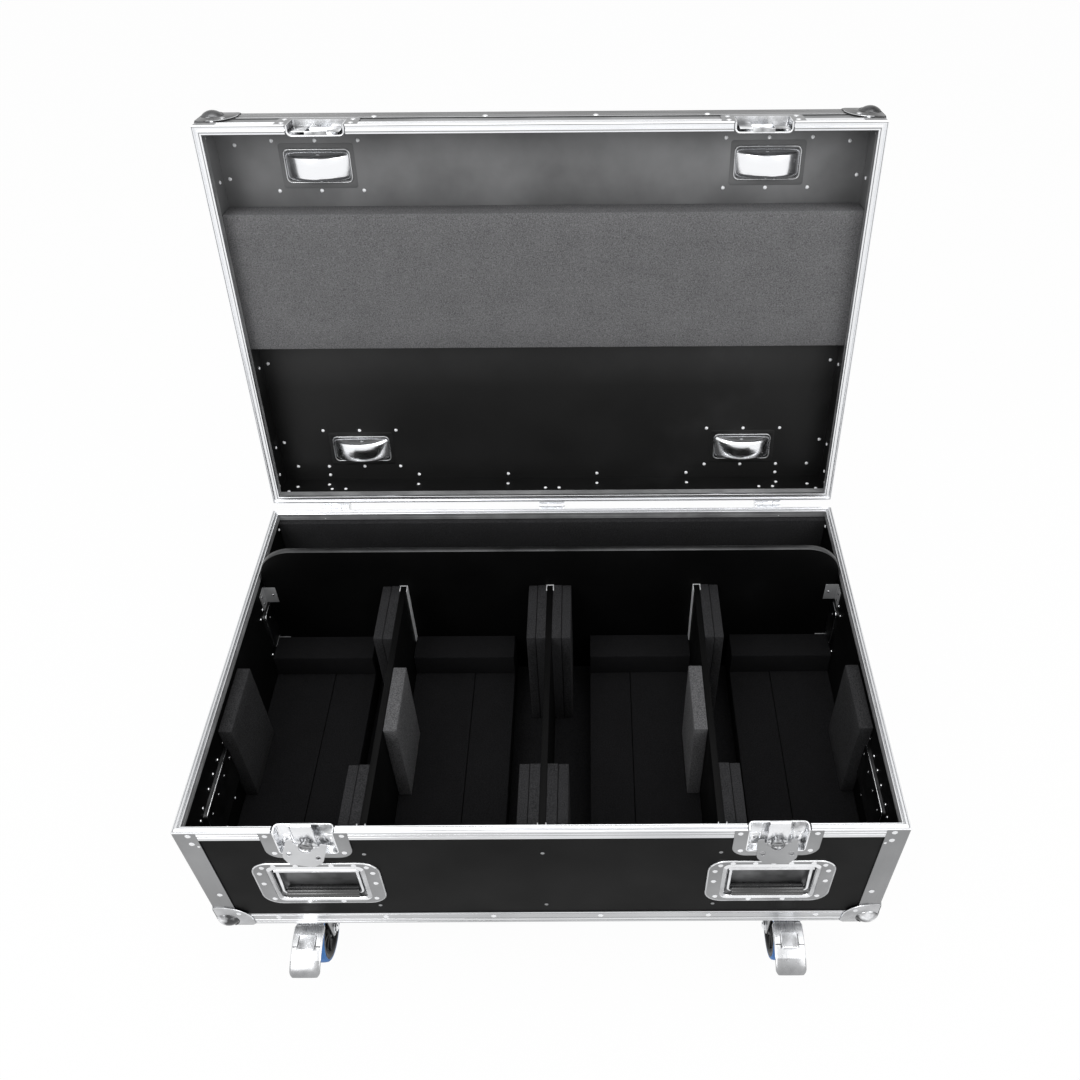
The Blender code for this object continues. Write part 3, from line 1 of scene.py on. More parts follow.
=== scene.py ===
"""Looks of the lighting flight case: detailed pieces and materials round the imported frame.

Pieces of the lid are made as if it were closed and then turned open with LID.
"""
import math

import bmesh
import bpy
from mathutils import Matrix, Vector, noise


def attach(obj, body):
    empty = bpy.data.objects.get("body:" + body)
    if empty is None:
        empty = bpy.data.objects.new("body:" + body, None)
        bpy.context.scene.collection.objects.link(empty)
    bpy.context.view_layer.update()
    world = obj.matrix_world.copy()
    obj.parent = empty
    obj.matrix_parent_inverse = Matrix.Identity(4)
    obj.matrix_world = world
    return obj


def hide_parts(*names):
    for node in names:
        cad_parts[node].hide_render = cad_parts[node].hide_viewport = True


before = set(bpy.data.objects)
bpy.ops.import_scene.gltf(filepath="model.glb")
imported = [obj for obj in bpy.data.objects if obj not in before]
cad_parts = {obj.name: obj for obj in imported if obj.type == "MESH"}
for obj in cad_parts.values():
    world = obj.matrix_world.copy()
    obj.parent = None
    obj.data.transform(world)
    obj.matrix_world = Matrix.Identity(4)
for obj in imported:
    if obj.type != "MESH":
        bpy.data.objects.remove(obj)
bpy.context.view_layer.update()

# Sizes shared with the solids
HALF = 0.465
FRONT = -0.359295
BACK = 0.238705
BASE = 0.128
RIM = 0.378
TOP = 0.448
GAP = 0.0003
METAL = 0.0012
SKIN = 0.0015
WALL = 0.0085
INNER_X = 0.4562
BOARD_FACE = FRONT + 0.4476
BOARD_PLY = 0.009
SHEET_LOW = 0.1388
SHEET_TOP = 0.1488
ON_SHEET = SHEET_TOP + 0.0001
INSERT_LOW = 0.1491
PAD_LOW = 0.1492
INSERT_TOP = 0.353
MIDDLE_PAD = (FRONT + 0.171, FRONT + 0.284)
PITCH = 0.231
LATCH_X = 0.300
LATCH_HALF = 0.056
HUB_DROP = 0.0285
PIN_OUT = 0.00305
WING_REST_DEG = 24
LEFT_WING_TURN_DEG = 17
HALF_TURN_DEG = 180
HINGE_X = 0.360
DISH_X = 0.318
DISH_INSET = 0.069
CASTOR_X = 0.345
CASTOR_INSET = 0.066
LID_OPEN_DEG = 99.3
HINGE = Vector((0, 0.246205, 0.378))
LID = (Matrix.Translation(HINGE) @ Matrix.Rotation(math.radians(-LID_OPEN_DEG), 4, "X")
       @ Matrix.Translation(-HINGE))
TURNS = {
    "X": Matrix(((0, 0, 1), (1, 0, 0), (0, 1, 0))).to_4x4(),
    "Y": Matrix(((1, 0, 0), (0, 0, -1), (0, 1, 0))).to_4x4(),
    "Z": Matrix.Identity(4),
}
SIDES = (("left", -1), ("right", 1))
WALLS = (("front", "long", -HALF, HALF), ("back", "long", -HALF, HALF),
         ("left", "sides", FRONT, BACK), ("right", "sides", FRONT, BACK))
DIVIDERS = (("left", -PITCH), ("centre", 0), ("right", PITCH))
DISH_RIVETS = [(u, v) for u in (-0.0605, 0, 0.0605) for v in (-0.0345, 0.0345)]


# Camera, floor and light
def set_camera():
    data = bpy.data.cameras.new("camera")
    data.sensor_width = 36
    data.sensor_fit = "HORIZONTAL"
    data.lens = 34.157
    data.shift_x = -0.0459
    data.shift_y = 0.0087
    data.clip_start = 0.01
    camera = bpy.data.objects.new("camera", data)
    camera.location = (0.06659, -1.020335, 1.53418)
    camera.rotation_euler = (0.7879, 0.0062, -0.0027)
    bpy.context.scene.collection.objects.link(camera)
    bpy.context.scene.camera = camera


def area_light(name, place, aim, size, power):
    data = bpy.data.lights.new(name, "AREA")
    data.shape = "RECTANGLE"
    data.size = size[0]
    data.size_y = size[1]
    data.energy = power
    lamp = bpy.data.objects.new(name, data)
    lamp.location = place
    lamp.rotation_euler = (Vector(aim) - Vector(place)).to_track_quat("-Z", "Y").to_euler()
    bpy.context.scene.collection.objects.link(lamp)


def seen_directly(tree):
    """1 for camera, glossy and transmission rays, 0 for light that falls on the object."""
    path = tree.nodes.new("ShaderNodeLightPath")
    total = path.outputs["Is Camera Ray"]
    for other in ("Is Glossy Ray", "Is Transmission Ray"):
        add = tree.nodes.new("ShaderNodeMath")
        add.operation = "MAXIMUM"
        tree.links.new(total, add.inputs[0])
        tree.links.new(path.outputs[other], add.inputs[1])
        total = add.outputs[0]
    return total


def set_stage():
    world = bpy.data.worlds.new("studio")
    world.use_nodes = True
    bpy.context.scene.world = world
    tree = world.node_tree
    background = tree.nodes["Background"]
    background.inputs["Color"].default_value = (1, 1, 1, 1)
    tree.links.new(span(tree, seen_directly(tree), 0.55, 1.0), background.inputs["Strength"])

    bpy.ops.mesh.primitive_plane_add(size=60, location=(0, 0, -0.0002))
    floor = bpy.context.object
    floor.name = "floor"
    white = bpy.data.materials.new("floor_white")
    white.use_nodes = True
    tree = white.node_tree
    shader = tree.nodes["Principled BSDF"]
    shader.inputs["Base Color"].default_value = (0.82, 0.82, 0.82, 1)
    shader.inputs["Roughness"].default_value = 0.9
    shader.inputs["Specular IOR Level"].default_value = 0.0
    glow = tree.nodes.new("ShaderNodeEmission")
    mix = tree.nodes.new("ShaderNodeMixShader")
    tree.links.new(span(tree, seen_directly(tree), 0.0, 0.97), mix.inputs["Fac"])
    tree.links.new(shader.outputs[0], mix.inputs[1])
    tree.links.new(glow.outputs[0], mix.inputs[2])
    tree.links.new(mix.outputs[0], tree.nodes["Material Output"].inputs["Surface"])
    floor.data.materials.append(white)
    area_light("key", (-1.6, -1.8, 2.6), (0, 0, 0.4), (1.6, 1.6), 38)
    area_light("fill", (1.8, -1.2, 2.2), (0, 0, 0.4), (1.6, 1.6), 22)
    area_light("top", (0, 0.2, 3.0), (0, 0, 0.3), (2.4, 1.6), 26)


# Materials
def span(tree, value, low, high):
    node = tree.nodes.new("ShaderNodeMapRange")
    node.inputs["To Min"].default_value = low
    node.inputs["To Max"].default_value = high
    tree.links.new(value, node.inputs["Value"])
    return node.outputs["Result"]


def ramp(tree, value, stops):
    node = tree.nodes.new("ShaderNodeValToRGB")
    while len(node.color_ramp.elements) < len(stops):
        node.color_ramp.elements.new(1)
    for element, (place, colour) in zip(node.color_ramp.elements, stops):
        element.position = place
        element.color = (*colour, 1)
    tree.links.new(value, node.inputs["Fac"])
    return node.outputs["Color"]


def grain(tree, scale, stretch=(1, 1, 1), detail=2, kind="ShaderNodeTexNoise"):
    place = tree.nodes.new("ShaderNodeTexCoord")
    mapping = tree.nodes.new("ShaderNodeMapping")
    mapping.inputs["Scale"].default_value = stretch
    texture = tree.nodes.new(kind)
    texture.inputs["Scale"].default_value = scale
    if "Detail" in texture.inputs:
        texture.inputs["Detail"].default_value = detail
    tree.links.new(place.outputs["Object"], mapping.inputs["Vector"])
    tree.links.new(mapping.outputs["Vector"], texture.inputs["Vector"])
    return texture.outputs["Distance" if kind.endswith("Voronoi") else "Fac"]


def bump(tree, value, distance, strength=1.0, before=None):
    node = tree.nodes.new("ShaderNodeBump")
    node.inputs["Distance"].default_value = distance
    node.inputs["Strength"].default_value = strength
    tree.links.new(value, node.inputs["Height"])
    if before is not None:
        tree.links.new(before, node.inputs["Normal"])
    return node.outputs["Normal"]


def paint(name, metallic, roughness, specular=0.5):
    made = bpy.data.materials.new(name)
    made.use_nodes = True
    shader = made.node_tree.nodes["Principled BSDF"]
    shader.inputs["Metallic"].default_value = metallic
    shader.inputs["Roughness"].default_value = roughness
    shader.inputs["Specular IOR Level"].default_value = specular
    return made, made.node_tree, shader


def grey(level):
    return (level, level * 1.01, level * 1.03)


def metal(name, dark, bright, rough, stretch, scratch, patch=14, band=(0.3, 0.62), shine=1.0):
    """Bare metal: streaks along the axis that stretch scales least, patches of wear, fine scratches; where
    dark and bright lie far apart, the patches are painted reflections.
    """
    made, tree, shader = paint(name, shine, rough[1])
    patches = grain(tree, patch, detail=4)
    streaks = grain(tree, 60, stretch, 3)
    tree.links.new(ramp(tree, patches, ((band[0], grey(dark)), (band[1], grey(bright)))),
                   shader.inputs["Base Color"])
    tree.links.new(span(tree, streaks, *rough), shader.inputs["Roughness"])
    tree.links.new(bump(tree, grain(tree, 90, stretch, 4), scratch), shader.inputs["Normal"])
    return made


def laminate(name, tones, specular, rise=None):
    """Laminate with a fine pebble, smudges and scuffs; rise lightens it towards its upper edge as painted
    light.
    """
    made, tree, shader = paint(name, 0.0, 0.42, specular)
    smudge = grain(tree, 7, detail=6)
    colour = ramp(tree, smudge, [(place, grey(level)) for place, level in zip((0.35, 0.6, 0.78), tones)])
    if rise:
        where = tree.nodes.new("ShaderNodeSeparateXYZ")
        tree.links.new(tree.nodes.new("ShaderNodeTexCoord").outputs["Generated"], where.inputs["Vector"])
        # Lighter tones towards the upper edge: painted light.
        painted_light = ramp(tree, smudge, [(place, grey(level)) for place, level in zip((0.35, 0.7), rise)])
        mix = tree.nodes.new("ShaderNodeMix")
        mix.data_type = "RGBA"
        high = ramp(tree, where.outputs["Z"], ((0.30, (0, 0, 0)), (0.62, (0.25,) * 3), (0.98, (1, 1, 1))))
        tree.links.new(high, mix.inputs["Factor"])
        tree.links.new(colour, mix.inputs["A"])
        tree.links.new(painted_light, mix.inputs["B"])
        colour = mix.outputs["Result"]
    tree.links.new(colour, shader.inputs["Base Color"])
    tree.links.new(span(tree, grain(tree, 11, detail=5), 0.34, 0.58), shader.inputs["Roughness"])
    tree.links.new(bump(tree, grain(tree, 900, kind="ShaderNodeTexVoronoi"), 0.00012, 0.35),
                   shader.inputs["Normal"])
    return made


def foam(name, dark, bright):
    made, tree, shader = paint(name, 0.0, 0.95, 0.12)
    cells = grain(tree, 650, detail=3)
    patches = grain(tree, 24, detail=3)
    mix = tree.nodes.new("ShaderNodeMath")
    mix.operation = "MULTIPLY_ADD"
    tree.links.new(patches, mix.inputs[0])
    mix.inputs[1].default_value = 0.12
    tree.links.new(cells, mix.inputs[2])
    tree.links.new(ramp(tree, mix.outputs[0], ((0.34, dark), (0.74, bright))), shader.inputs["Base Color"])
    tree.links.new(bump(tree, grain(tree, 700, kind="ShaderNodeTexVoronoi"), 0.0006, 0.7),
                   shader.inputs["Normal"])
    return made


def rubber(name, dark, bright, rough, specular=0.35):
    made, tree, shader = paint(name, 0.0, rough, specular)
    tree.links.new(ramp(tree, grain(tree, 45, detail=5), ((0.35, dark), (0.7, bright))),
                   shader.inputs["Base Color"])
    tree.links.new(span(tree, grain(tree, 120), rough - 0.1, rough + 0.15), shader.inputs["Roughness"])
    tree.links.new(bump(tree, grain(tree, 800), 0.0002, 0.5), shader.inputs["Normal"])
    return made


def aluminium(name, low, high):
    """One aluminium finish brushed along each axis."""
    runs = (("x", (0.05, 8, 8)), ("y", (8, 0.05, 8)), ("z", (8, 8, 0.05)))
    return {axis: metal(f"{name}_{axis}", low, high, (0.22, 0.34), stretch, 0.00003, 5)
            for axis, stretch in runs}


PLAIN = (1, 1, 1)
LAMINATE = laminate("laminate", (0.0018, 0.0030, 0.0060), 0.05)
# The lid's skin is lighter towards its upper edge: painted light.
LID_SKIN = laminate("laminate_lid", (0.0012, 0.0030, 0.0120), 0.35, (0.14, 0.28))
# The front seals are far lighter than the rear ones: painted light on the front dishes.
SEALS = {"front": laminate("laminate_seal", (0.10, 0.13, 0.17), 0.35),
         "rear": laminate("laminate_seal_dark", (0.0012, 0.0030, 0.0120), 0.35)}
EDGING = metal("edging", 0.030, 0.075, (0.35, 0.55), (0.05, 8, 8), 0.00005)
# Copies of one aluminium in four tones, chosen by the way a piece faces: cap brightest for tops, pale, face
# and shade darker for sides, lower angles and the lid: painted light and shade.
CAP = aluminium("aluminium_cap", 0.84, 0.94)
PALE = aluminium("aluminium_pale", 0.60, 0.74)
FACE = aluminium("aluminium_face", 0.42, 0.56)
SHADE = aluminium("aluminium_shade", 0.085, 0.14)
# A dark, half-matt copy of the aluminium for inner lips and brackets: painted shade.
LIP = metal("aluminium_lip", 0.22, 0.36, (0.45, 0.6), PLAIN, 0.0001, 20, (0.35, 0.65), 0.25)
# Dark strips laid in grooves and on the pedal: painted shadow.
LINE = metal("groove", 0.06, 0.11, (0.40, 0.55), PLAIN, 0.0001)
GROOVE = metal("groove_pale", 0.24, 0.34, (0.40, 0.55), PLAIN, 0.0001)
POST = metal("aluminium_plain", 0.21, 0.30, (0.28, 0.42), (4, 4, 0.3), 0.00005, 5)
RAIL = metal("aluminium_rail", 0.55, 0.80, (0.30, 0.45), (4, 4, 0.3), 0.00005, 14, (0.3, 0.62), 0.3)
ZINC = metal("zinc", 0.22, 0.33, (0.24, 0.42), PLAIN, 0.00008, 10)
SATIN = metal("zinc_satin_pale", 0.36, 0.58, (0.20, 0.36), PLAIN, 0.00005, 30)
# Bright zinc on rivets, beads, edges and hinges against the darker flanges: partly the metal's own shine,
# partly painted highlight.
BRIGHT = metal("zinc_bright", 0.74, 0.92, (0.14, 0.34), PLAIN, 0.00008)
# Near-white and hardly metallic, so rivet tails show as bright dots in the dark inside: painted glints.
TAIL = metal("rivet_tail", 0.86, 0.95, (0.45, 0.6), PLAIN, 0.00003, 14, (0.3, 0.62), 0.1)
# High-contrast patches on the latch and keeper pockets and the castor troughs: painted reflections.
MIRROR = metal("zinc_mirror", 0.32, 0.94, (0.14, 0.30), PLAIN, 0.00006, 26, (0.38, 0.56))
BOWL = metal("zinc_bowl", 0.40, 0.95, (0.12, 0.24), PLAIN, 0.00005, 12, (0.34, 0.50))
# Darker zinc inside the handle pans: painted shade in the recess.
PAN = metal("zinc_pan", 0.10, 0.30, (0.30, 0.50), PLAIN, 0.00008, 16, (0.36, 0.66), 0.7)
STEEL = metal("steel_dark", 0.020, 0.075, (0.30, 0.45), PLAIN, 0.0001, 30)
# High-contrast patches on the tub's corner balls: painted reflections.
BALL = metal("zinc_ball", 0.075, 0.88, (0.12, 0.24), PLAIN, 0.00005, 46, (0.42, 0.60))
# A dark copy of the zinc for the lid's corners: painted shade.
DIM = metal("zinc_dim", 0.030, 0.15, (0.20, 0.40), PLAIN, 0.00008, 40, (0.35, 0.68))
CHROME = metal("chrome", 0.62, 0.86, (0.08, 0.18), PLAIN, 0.00003, 40)
# Two copies of one wing finish, the left one lighter: painted light and shade.
WINGS = (metal("zinc_satin", 0.52, 0.62, (0.30, 0.46), PLAIN, 0.00008),
         metal("zinc_satin_dark", 0.30, 0.38, (0.30, 0.46), PLAIN, 0.00008))
# The pedal's toe, curving down, takes a darker copy of the finish: painted shade.
PEDAL = metal("zinc_pressed", 0.58, 0.80, (0.20, 0.34), (6, 0.5, 6), 0.00005, 24)
TOE = metal("zinc_toe", 0.30, 0.46, (0.22, 0.36), (6, 0.5, 6), 0.00005, 24)
FORK = metal("zinc_fork", 0.20, 0.40, (0.22, 0.36), PLAIN, 0.00005)
FOAM_DEEP = foam("foam_floor", (0.0035, 0.0035, 0.0038), (0.012, 0.012, 0.013))
FOAM_DARK = foam("foam_dark", (0.008, 0.008, 0.0085), (0.034, 0.034, 0.036))
FOAM_WALL = foam("foam_wall", (0.010, 0.010, 0.0105), (0.044, 0.044, 0.046))
FOAM_GREY = foam("foam_grey", (0.034, 0.034, 0.036), (0.130, 0.130, 0.134))
FOAM_LID = foam("foam_lid", (0.075, 0.075, 0.078), (0.19, 0.19, 0.195))
GRIP = rubber("grip_black", (0.008, 0.008, 0.0085), (0.024, 0.024, 0.025), 0.26, 1.0)
CORE = rubber("core_black", (0.004, 0.004, 0.0045), (0.014, 0.014, 0.015), 0.45)
TREAD = rubber("tread_blue", (0.030, 0.145, 0.42), (0.062, 0.23, 0.58), 0.5)


# Shapes, each a pair of points and faces
def moved(bit, matrix):
    points, faces = bit
    return [matrix @ Vector(p) for p in points], faces


def parted(bit, test):
    """One bit's faces as two: those whose middle passes the test, and the rest."""
    points, faces = bit
    passed = [test(sum((Vector(points[i]) for i in face), Vector()) / len(face)) for face in faces]
    return ((points, [face for face, good in zip(faces, passed) if good]),
            (points, [face for face, good in zip(faces, passed) if not good]))


def from_mesh(shape):
    shape.verts.index_update()
    bit = ([v.co.copy() for v in shape.verts], [[v.index for v in f.verts] for f in shape.faces])
    shape.free()
    return bit


def block(low, high, soft=0.0004, steps=2):
    low = Vector(low)
    high = Vector(high)
    shape = bmesh.new()
    bmesh.ops.create_cube(shape, size=1)
    place = Matrix.Translation((low + high) / 2) @ Matrix.Diagonal((*(high - low), 1))
    bmesh.ops.transform(shape, matrix=place, verts=shape.verts)
    bmesh.ops.bevel(shape, geom=shape.edges[:], offset=soft, segments=steps, affect="EDGES", profile=0.5)
    return from_mesh(shape)


def slab(low, high, soft=0.0015, cell=0.022, wave=0.0005):
    """A foam slab: soft edges and a slightly uneven surface."""
    low = Vector(low)
    high = Vector(high)
    size = high - low
    shape = bmesh.new()
    bmesh.ops.create_cube(shape, size=1)
    place = Matrix.Translation((low + high) / 2) @ Matrix.Diagonal((*size, 1))
    bmesh.ops.transform(shape, matrix=place, verts=shape.verts)
    bmesh.ops.bevel(shape, geom=shape.edges[:], offset=soft, segments=2, affect="EDGES", profile=0.5)
    for axis in range(3):
        count = int(size[axis] / cell)
        for i in range(1, count):
            plane = low.copy()
            plane[axis] += size[axis] * i / count
            normal = [0, 0, 0]
            normal[axis] = 1
            bmesh.ops.bisect_plane(shape, geom=shape.verts[:] + shape.edges[:] + shape.faces[:],
                                   plane_co=plane, plane_no=normal)
    shape.normal_update()
    for vert in shape.verts:
        vert.co -= vert.normal * wave * (0.5 + 0.5 * noise.noise(vert.co * 40))
    return from_mesh(shape)


def arc(centre, radius, start, end, steps):
    turns = [math.radians(start + (end - start) * i / steps) for i in range(steps + 1)]
    return [(centre[0] + radius * math.cos(t), centre[1] + radius * math.sin(t)) for t in turns]


def rounded(width, height, radius, steps=6):
    """Rounded rectangle, anticlockwise from its lower right corner."""
    points = []
    for quarter, (u, v) in enumerate(((1, -1), (1, 1), (-1, 1), (-1, -1))):
        middle = (u * (width / 2 - radius), v * (height / 2 - radius))
        points += arc(middle, radius, 90 * (quarter - 1), 90 * quarter, steps)
    return points


def softened(corners, steps=4):
    """An outline from (u, v, corner radius) points."""
    points = []
    count = len(corners)
    for i, (u, v, radius) in enumerate(corners):
        here = Vector((u, v))
        if radius == 0:
            points.append((u, v))
            continue
        back = (Vector(corners[i - 1][:2]) - here).normalized()
        ahead = (Vector(corners[(i + 1) % count][:2]) - here).normalized()
        reach = radius / math.tan(back.angle(ahead) / 2)
        first = here + back * reach
        last = here + ahead * reach
        for k in range(steps + 1):
            t = k / steps
            point = first * (1 - t) ** 2 + here * 2 * t * (1 - t) + last * t * t
            points.append(tuple(point))
    return points


def plate(outlines, start, end, axis="Z", soft=0.0003, steps=1):
    """Flat outlines extruded along an axis, with softened edges; an inner outline is a hole."""
    curve = bpy.data.curves.new("outline", "CURVE")
    curve.dimensions = "2D"
    curve.fill_mode = "BOTH"
    curve.extrude = (end - start) / 2 - soft
    curve.bevel_depth = soft
    curve.bevel_resolution = steps
    curve.offset = -soft
    for outline in outlines:
        spline = curve.splines.new("POLY")
        spline.points.add(len(outline) - 1)
        spline.use_cyclic_u = True
        for point, (u, v) in zip(spline.points, outline):
            point.co = (u, v, 0, 1)
    bit = from_curve(curve)
    middle = Matrix.Translation(TURNS[axis] @ Vector((0, 0, (start + end) / 2)))
    return moved(bit, middle @ TURNS[axis])


def from_curve(curve):
    flat = bpy.data.objects.new("outline", curve)
    bpy.context.scene.collection.objects.link(flat)
    graph = bpy.context.evaluated_depsgraph_get()
    mesh = bpy.data.meshes.new_from_object(flat.evaluated_get(graph))
    shape = bmesh.new()
    shape.from_mesh(mesh)
    bpy.data.objects.remove(flat)
    bpy.data.curves.remove(curve)
    bpy.data.meshes.remove(mesh)
    return from_mesh(shape)


def tube(points, radius, resolution=4, closed=False):
    curve = bpy.data.curves.new("path", "CURVE")
    curve.dimensions = "3D"
    curve.bevel_depth = radius
    curve.bevel_resolution = resolution
    curve.use_fill_caps = not closed
    spline = curve.splines.new("POLY")
    spline.use_cyclic_u = closed
    spline.points.add(len(points) - 1)
    for point, place in zip(spline.points, points):
        point.co = (*place, 1)
    return from_curve(curve)


def loft(loops, cap_first=False, cap_last=True):
    """Loops of equal length joined in order."""
    count = len(loops[0])
    points = [Vector(p) for loop in loops for p in loop]
    faces = []
    for row in range(len(loops) - 1):
        for i in range(count):
            k = (i + 1) % count
            a = row * count
            faces.append([a + i, a + k, a + count + k, a + count + i])
    if cap_first:
        faces.append(list(range(count))[::-1])
    if cap_last:
        faces.append([(len(loops) - 1) * count + i for i in range(count)])
    return points, faces


def lathe(profile, axis="Z", steps=32, wobble=None):
    """A profile of (radius, height) points turned about an axis; ends on the axis close it."""
    loops = []
    for radius, height in profile:
        loop = []
        for i in range(steps):
            turn = 2 * math.pi * i / steps
            reach = radius * (wobble(turn) if wobble else 1)
            loop.append(Vector((reach * math.cos(turn), reach * math.sin(turn), height)))
        loops.append(loop)
    closed = profile[0] == profile[-1]
    bit = loft(loops, not closed, not closed)
    return moved(bit, TURNS[axis])


def extruded(profile, start, end, place, mitre=(0, 0)):
    """A (d, z) profile run from start to end; mitre shifts each end by its d."""
    loops = []
    for where, sign, flag in ((start, 1, mitre[0]), (end, -1, mitre[1])):
        loops.append([place(where + sign * flag * d, d, z) for d, z in profile])
    return loft(loops, True, True)


def wall_place(side):
    """Maps (along, inset, height) to a point on one side of the case."""
    return {
        "front": lambda s, d, z: Vector((s, FRONT + d, z)),
        "back": lambda s, d, z: Vector((s, BACK - d, z)),
        "left": lambda s, d, z: Vector((-HALF + d, s, z)),
        "right": lambda s, d, z: Vector((HALF - d, s, z)),
    }[side]


def piece(name, bits, finish, body, matrix=None, replaces=(), angle=40):
    """Joins bits into one object that rides on a body."""
    points = []
    faces = []
    for more_points, more_faces in bits:
        start = len(points)
        points += more_points
        faces += [[start + i for i in face] for face in more_faces]
    mesh = bpy.data.meshes.new(name)
    mesh.from_pydata([tuple(matrix @ Vector(p)) if matrix else tuple(p) for p in points], [], faces)
    shape = bmesh.new()
    shape.from_mesh(mesh)
    bmesh.ops.delete(shape, geom=[v for v in shape.verts if not v.link_faces], context="VERTS")
    bmesh.ops.remove_doubles(shape, verts=shape.verts, dist=0.000002)
    bmesh.ops.recalc_face_normals(shape, faces=shape.faces)
    shape.to_mesh(mesh)
    shape.free()
    mesh.shade_smooth()
    mesh.set_sharp_from_angle(angle=math.radians(angle))
    mesh.materials.append(finish)
    made = bpy.data.objects.new(name, mesh)
    bpy.context.scene.collection.objects.link(made)
    settle(made, body, replaces)
    return made


def settle(made, body, replaces=()):
    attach(made, body)
    if replaces:
        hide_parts(*replaces)


def copy_of(source, name, matrix, body, replaces=()):
    """A second placing of a piece's mesh."""
    made = bpy.data.objects.new(name, source.data)
    made.matrix_world = matrix
    bpy.context.scene.collection.objects.link(made)
    settle(made, body, replaces)
    return made


def placed(shared, kind, name, bits, finish, spot, body, stands=()):
    """One placing of a repeated kind of piece; the first makes the mesh that the others share."""
    if kind in shared:
        copy_of(shared[kind], name, spot, body, stands)
    else:
        shared[kind] = piece(name, bits, finish, body, None, stands)
        shared[kind].matrix_world = spot
        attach(shared[kind], body)


def pad(name, bits, finish, node, body="tub", matrix=None):
    """A foam piece that stands for a node."""
    piece(name, bits, finish, body, matrix, [node], 50)


def pad_block(plan, low, high, soft=0.0013):
    """A foam block of any plan with soft edges."""
    return plate([plan], low, high, "Z", soft, 2)


def repaint(node, finish):
    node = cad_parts[node]
    node.data.materials.clear()
    node.data.materials.append(finish)


# Rivets
def rivet(radius=0.0039, height=0.0016):
    """A domed rivet head on +Z."""
    profile = [(0, height), (radius * 0.45, height * 0.93), (radius * 0.8, height * 0.6),
               (radius, height * 0.1), (radius * 0.98, -0.0002), (0, -0.0002)]
    return lathe(profile, steps=12)


def rivet_tail(radius=0.0027, height=0.0016):
    """The spread end of a rivet: a low, slightly uneven dome."""
    profile = [(0, height), (radius * 0.5, height * 0.92), (radius * 0.85, height * 0.6),
               (radius, height * 0.2), (radius, -0.0002), (0, -0.0002)]
    return lathe(profile, steps=12, wobble=lambda t: 1 + 0.05 * math.cos(3 * t))


FACING = {
    "front": Matrix.Rotation(math.radians(90), 4, "X"),
    "back": Matrix.Rotation(math.radians(-90), 4, "X"),
    "left": Matrix.Rotation(math.radians(-90), 4, "Y"),
    "right": Matrix.Rotation(math.radians(90), 4, "Y"),
    "up": Matrix.Identity(4),
    "down": Matrix.Rotation(math.radians(180), 4, "X"),
}


def studs(places, facing, shape=None):
    shape = shape or rivet()
    return [moved(shape, Matrix.Translation(place) @ FACING[facing]) for place in places]


# Aluminium rims
def faced(start, end, lines, depth=0.0005):
    """Points down an outer face from z start to end, with a groove at each (z, half width) line."""
    sign = 1 if end > start else -1
    points = [(0, start)]
    for z, half in sorted(lines, key=lambda line: sign * line[0]):
        points += [(0, z - sign * half), (depth, z - sign * half * 0.75), (depth, z + sign * half * 0.75),
                   (0, z + sign * half)]
    return points + [(0, end)]


def shadows(lines, start, end, place, depth=0.0005):
    """Dull strips at the bottom of a face's grooves."""
    bits = []
    for z, half in lines:
        profile = [(depth - 0.0001, z - half * 0.72), (depth - 0.0001, z + half * 0.72),
                   (depth + 0.0002, z + half * 0.72), (depth + 0.0002, z - half * 0.72)]
        bits.append(extruded(profile, start, end, place))
    return bits


def rim_spans(half_gap):
    """Front stretches of a rim: outer left, middle, outer right, with their mitres."""
    return ((-HALF, -LATCH_X - half_gap, (1, 0)), (-LATCH_X + half_gap, LATCH_X - half_gap, (0, 0)),
            (LATCH_X + half_gap, HALF, (0, 1)))


def rim_set(prefix, cap, lip, flange, lines, grooves, half_gap, body, matrix=None):
    """The rim on all four sides: mitred caps and inner lips, and outer faces that stop at the angles."""
    corner = 0.0303
    dish = LATCH_HALF + GAP
    bits = {"long": [], "middle": [], "sides": [], "faces_long": [], "faces_sides": [],
            "lips": [], "lines": [], "grooves": []}

    def stretch(side, kind, start, end, mitre):
        place = wall_place(side)
        bits[kind].append(extruded(cap, start, end, place, mitre))
        bits["lips"].append(extruded(lip, start, end, place, mitre))
        bits["grooves"] += [extruded(groove, start, end, place, mitre) for groove in grooves]

    def face(side, kind, start, end):
        bits["faces_" + kind].append(extruded(flange, start, end, wall_place(side)))
        bits["lines"] += shadows(lines, start, end, wall_place(side))

    for start, end, mitre in rim_spans(half_gap):
        stretch("front", "middle" if mitre == (0, 0) else "long", start, end, mitre)
    for start, end in ((-HALF + corner, -LATCH_X - dish), (-LATCH_X + dish, LATCH_X - dish),
                       (LATCH_X + dish, HALF - corner)):
        face("front", "long", start, end)
    for side, kind, start, end in WALLS[1:]:
        stretch(side, kind, start, end, (1, 1))
        face(side, kind, start + corner, end - corner)
    # Sides and faces take lighter or darker copies of the aluminium by the way they face: painted light and
    # shade.
    across = "y" if matrix is None else "z"
    sides = PALE["y"] if matrix is None else CAP["z"]
    finishes = {"long": CAP["x"], "middle": CAP["x"], "sides": sides, "faces_long": PALE["x"],
                "faces_sides": FACE[across], "lips": LIP, "lines": GROOVE, "grooves": GROOVE}
    stands = {"long": [prefix + "_rim"], "middle": [prefix + "_rim_front"]}
    for kind, made in bits.items():
        piece(f"{prefix}_rim_{kind}", made, finishes[kind], body, matrix, stands.get(kind, ()))


def strip(d0, d1, z0, z1):
    """A (d, z) profile of a flat strip."""
    return [(d0, z0), (d1, z0), (d1, z1), (d0, z1)]


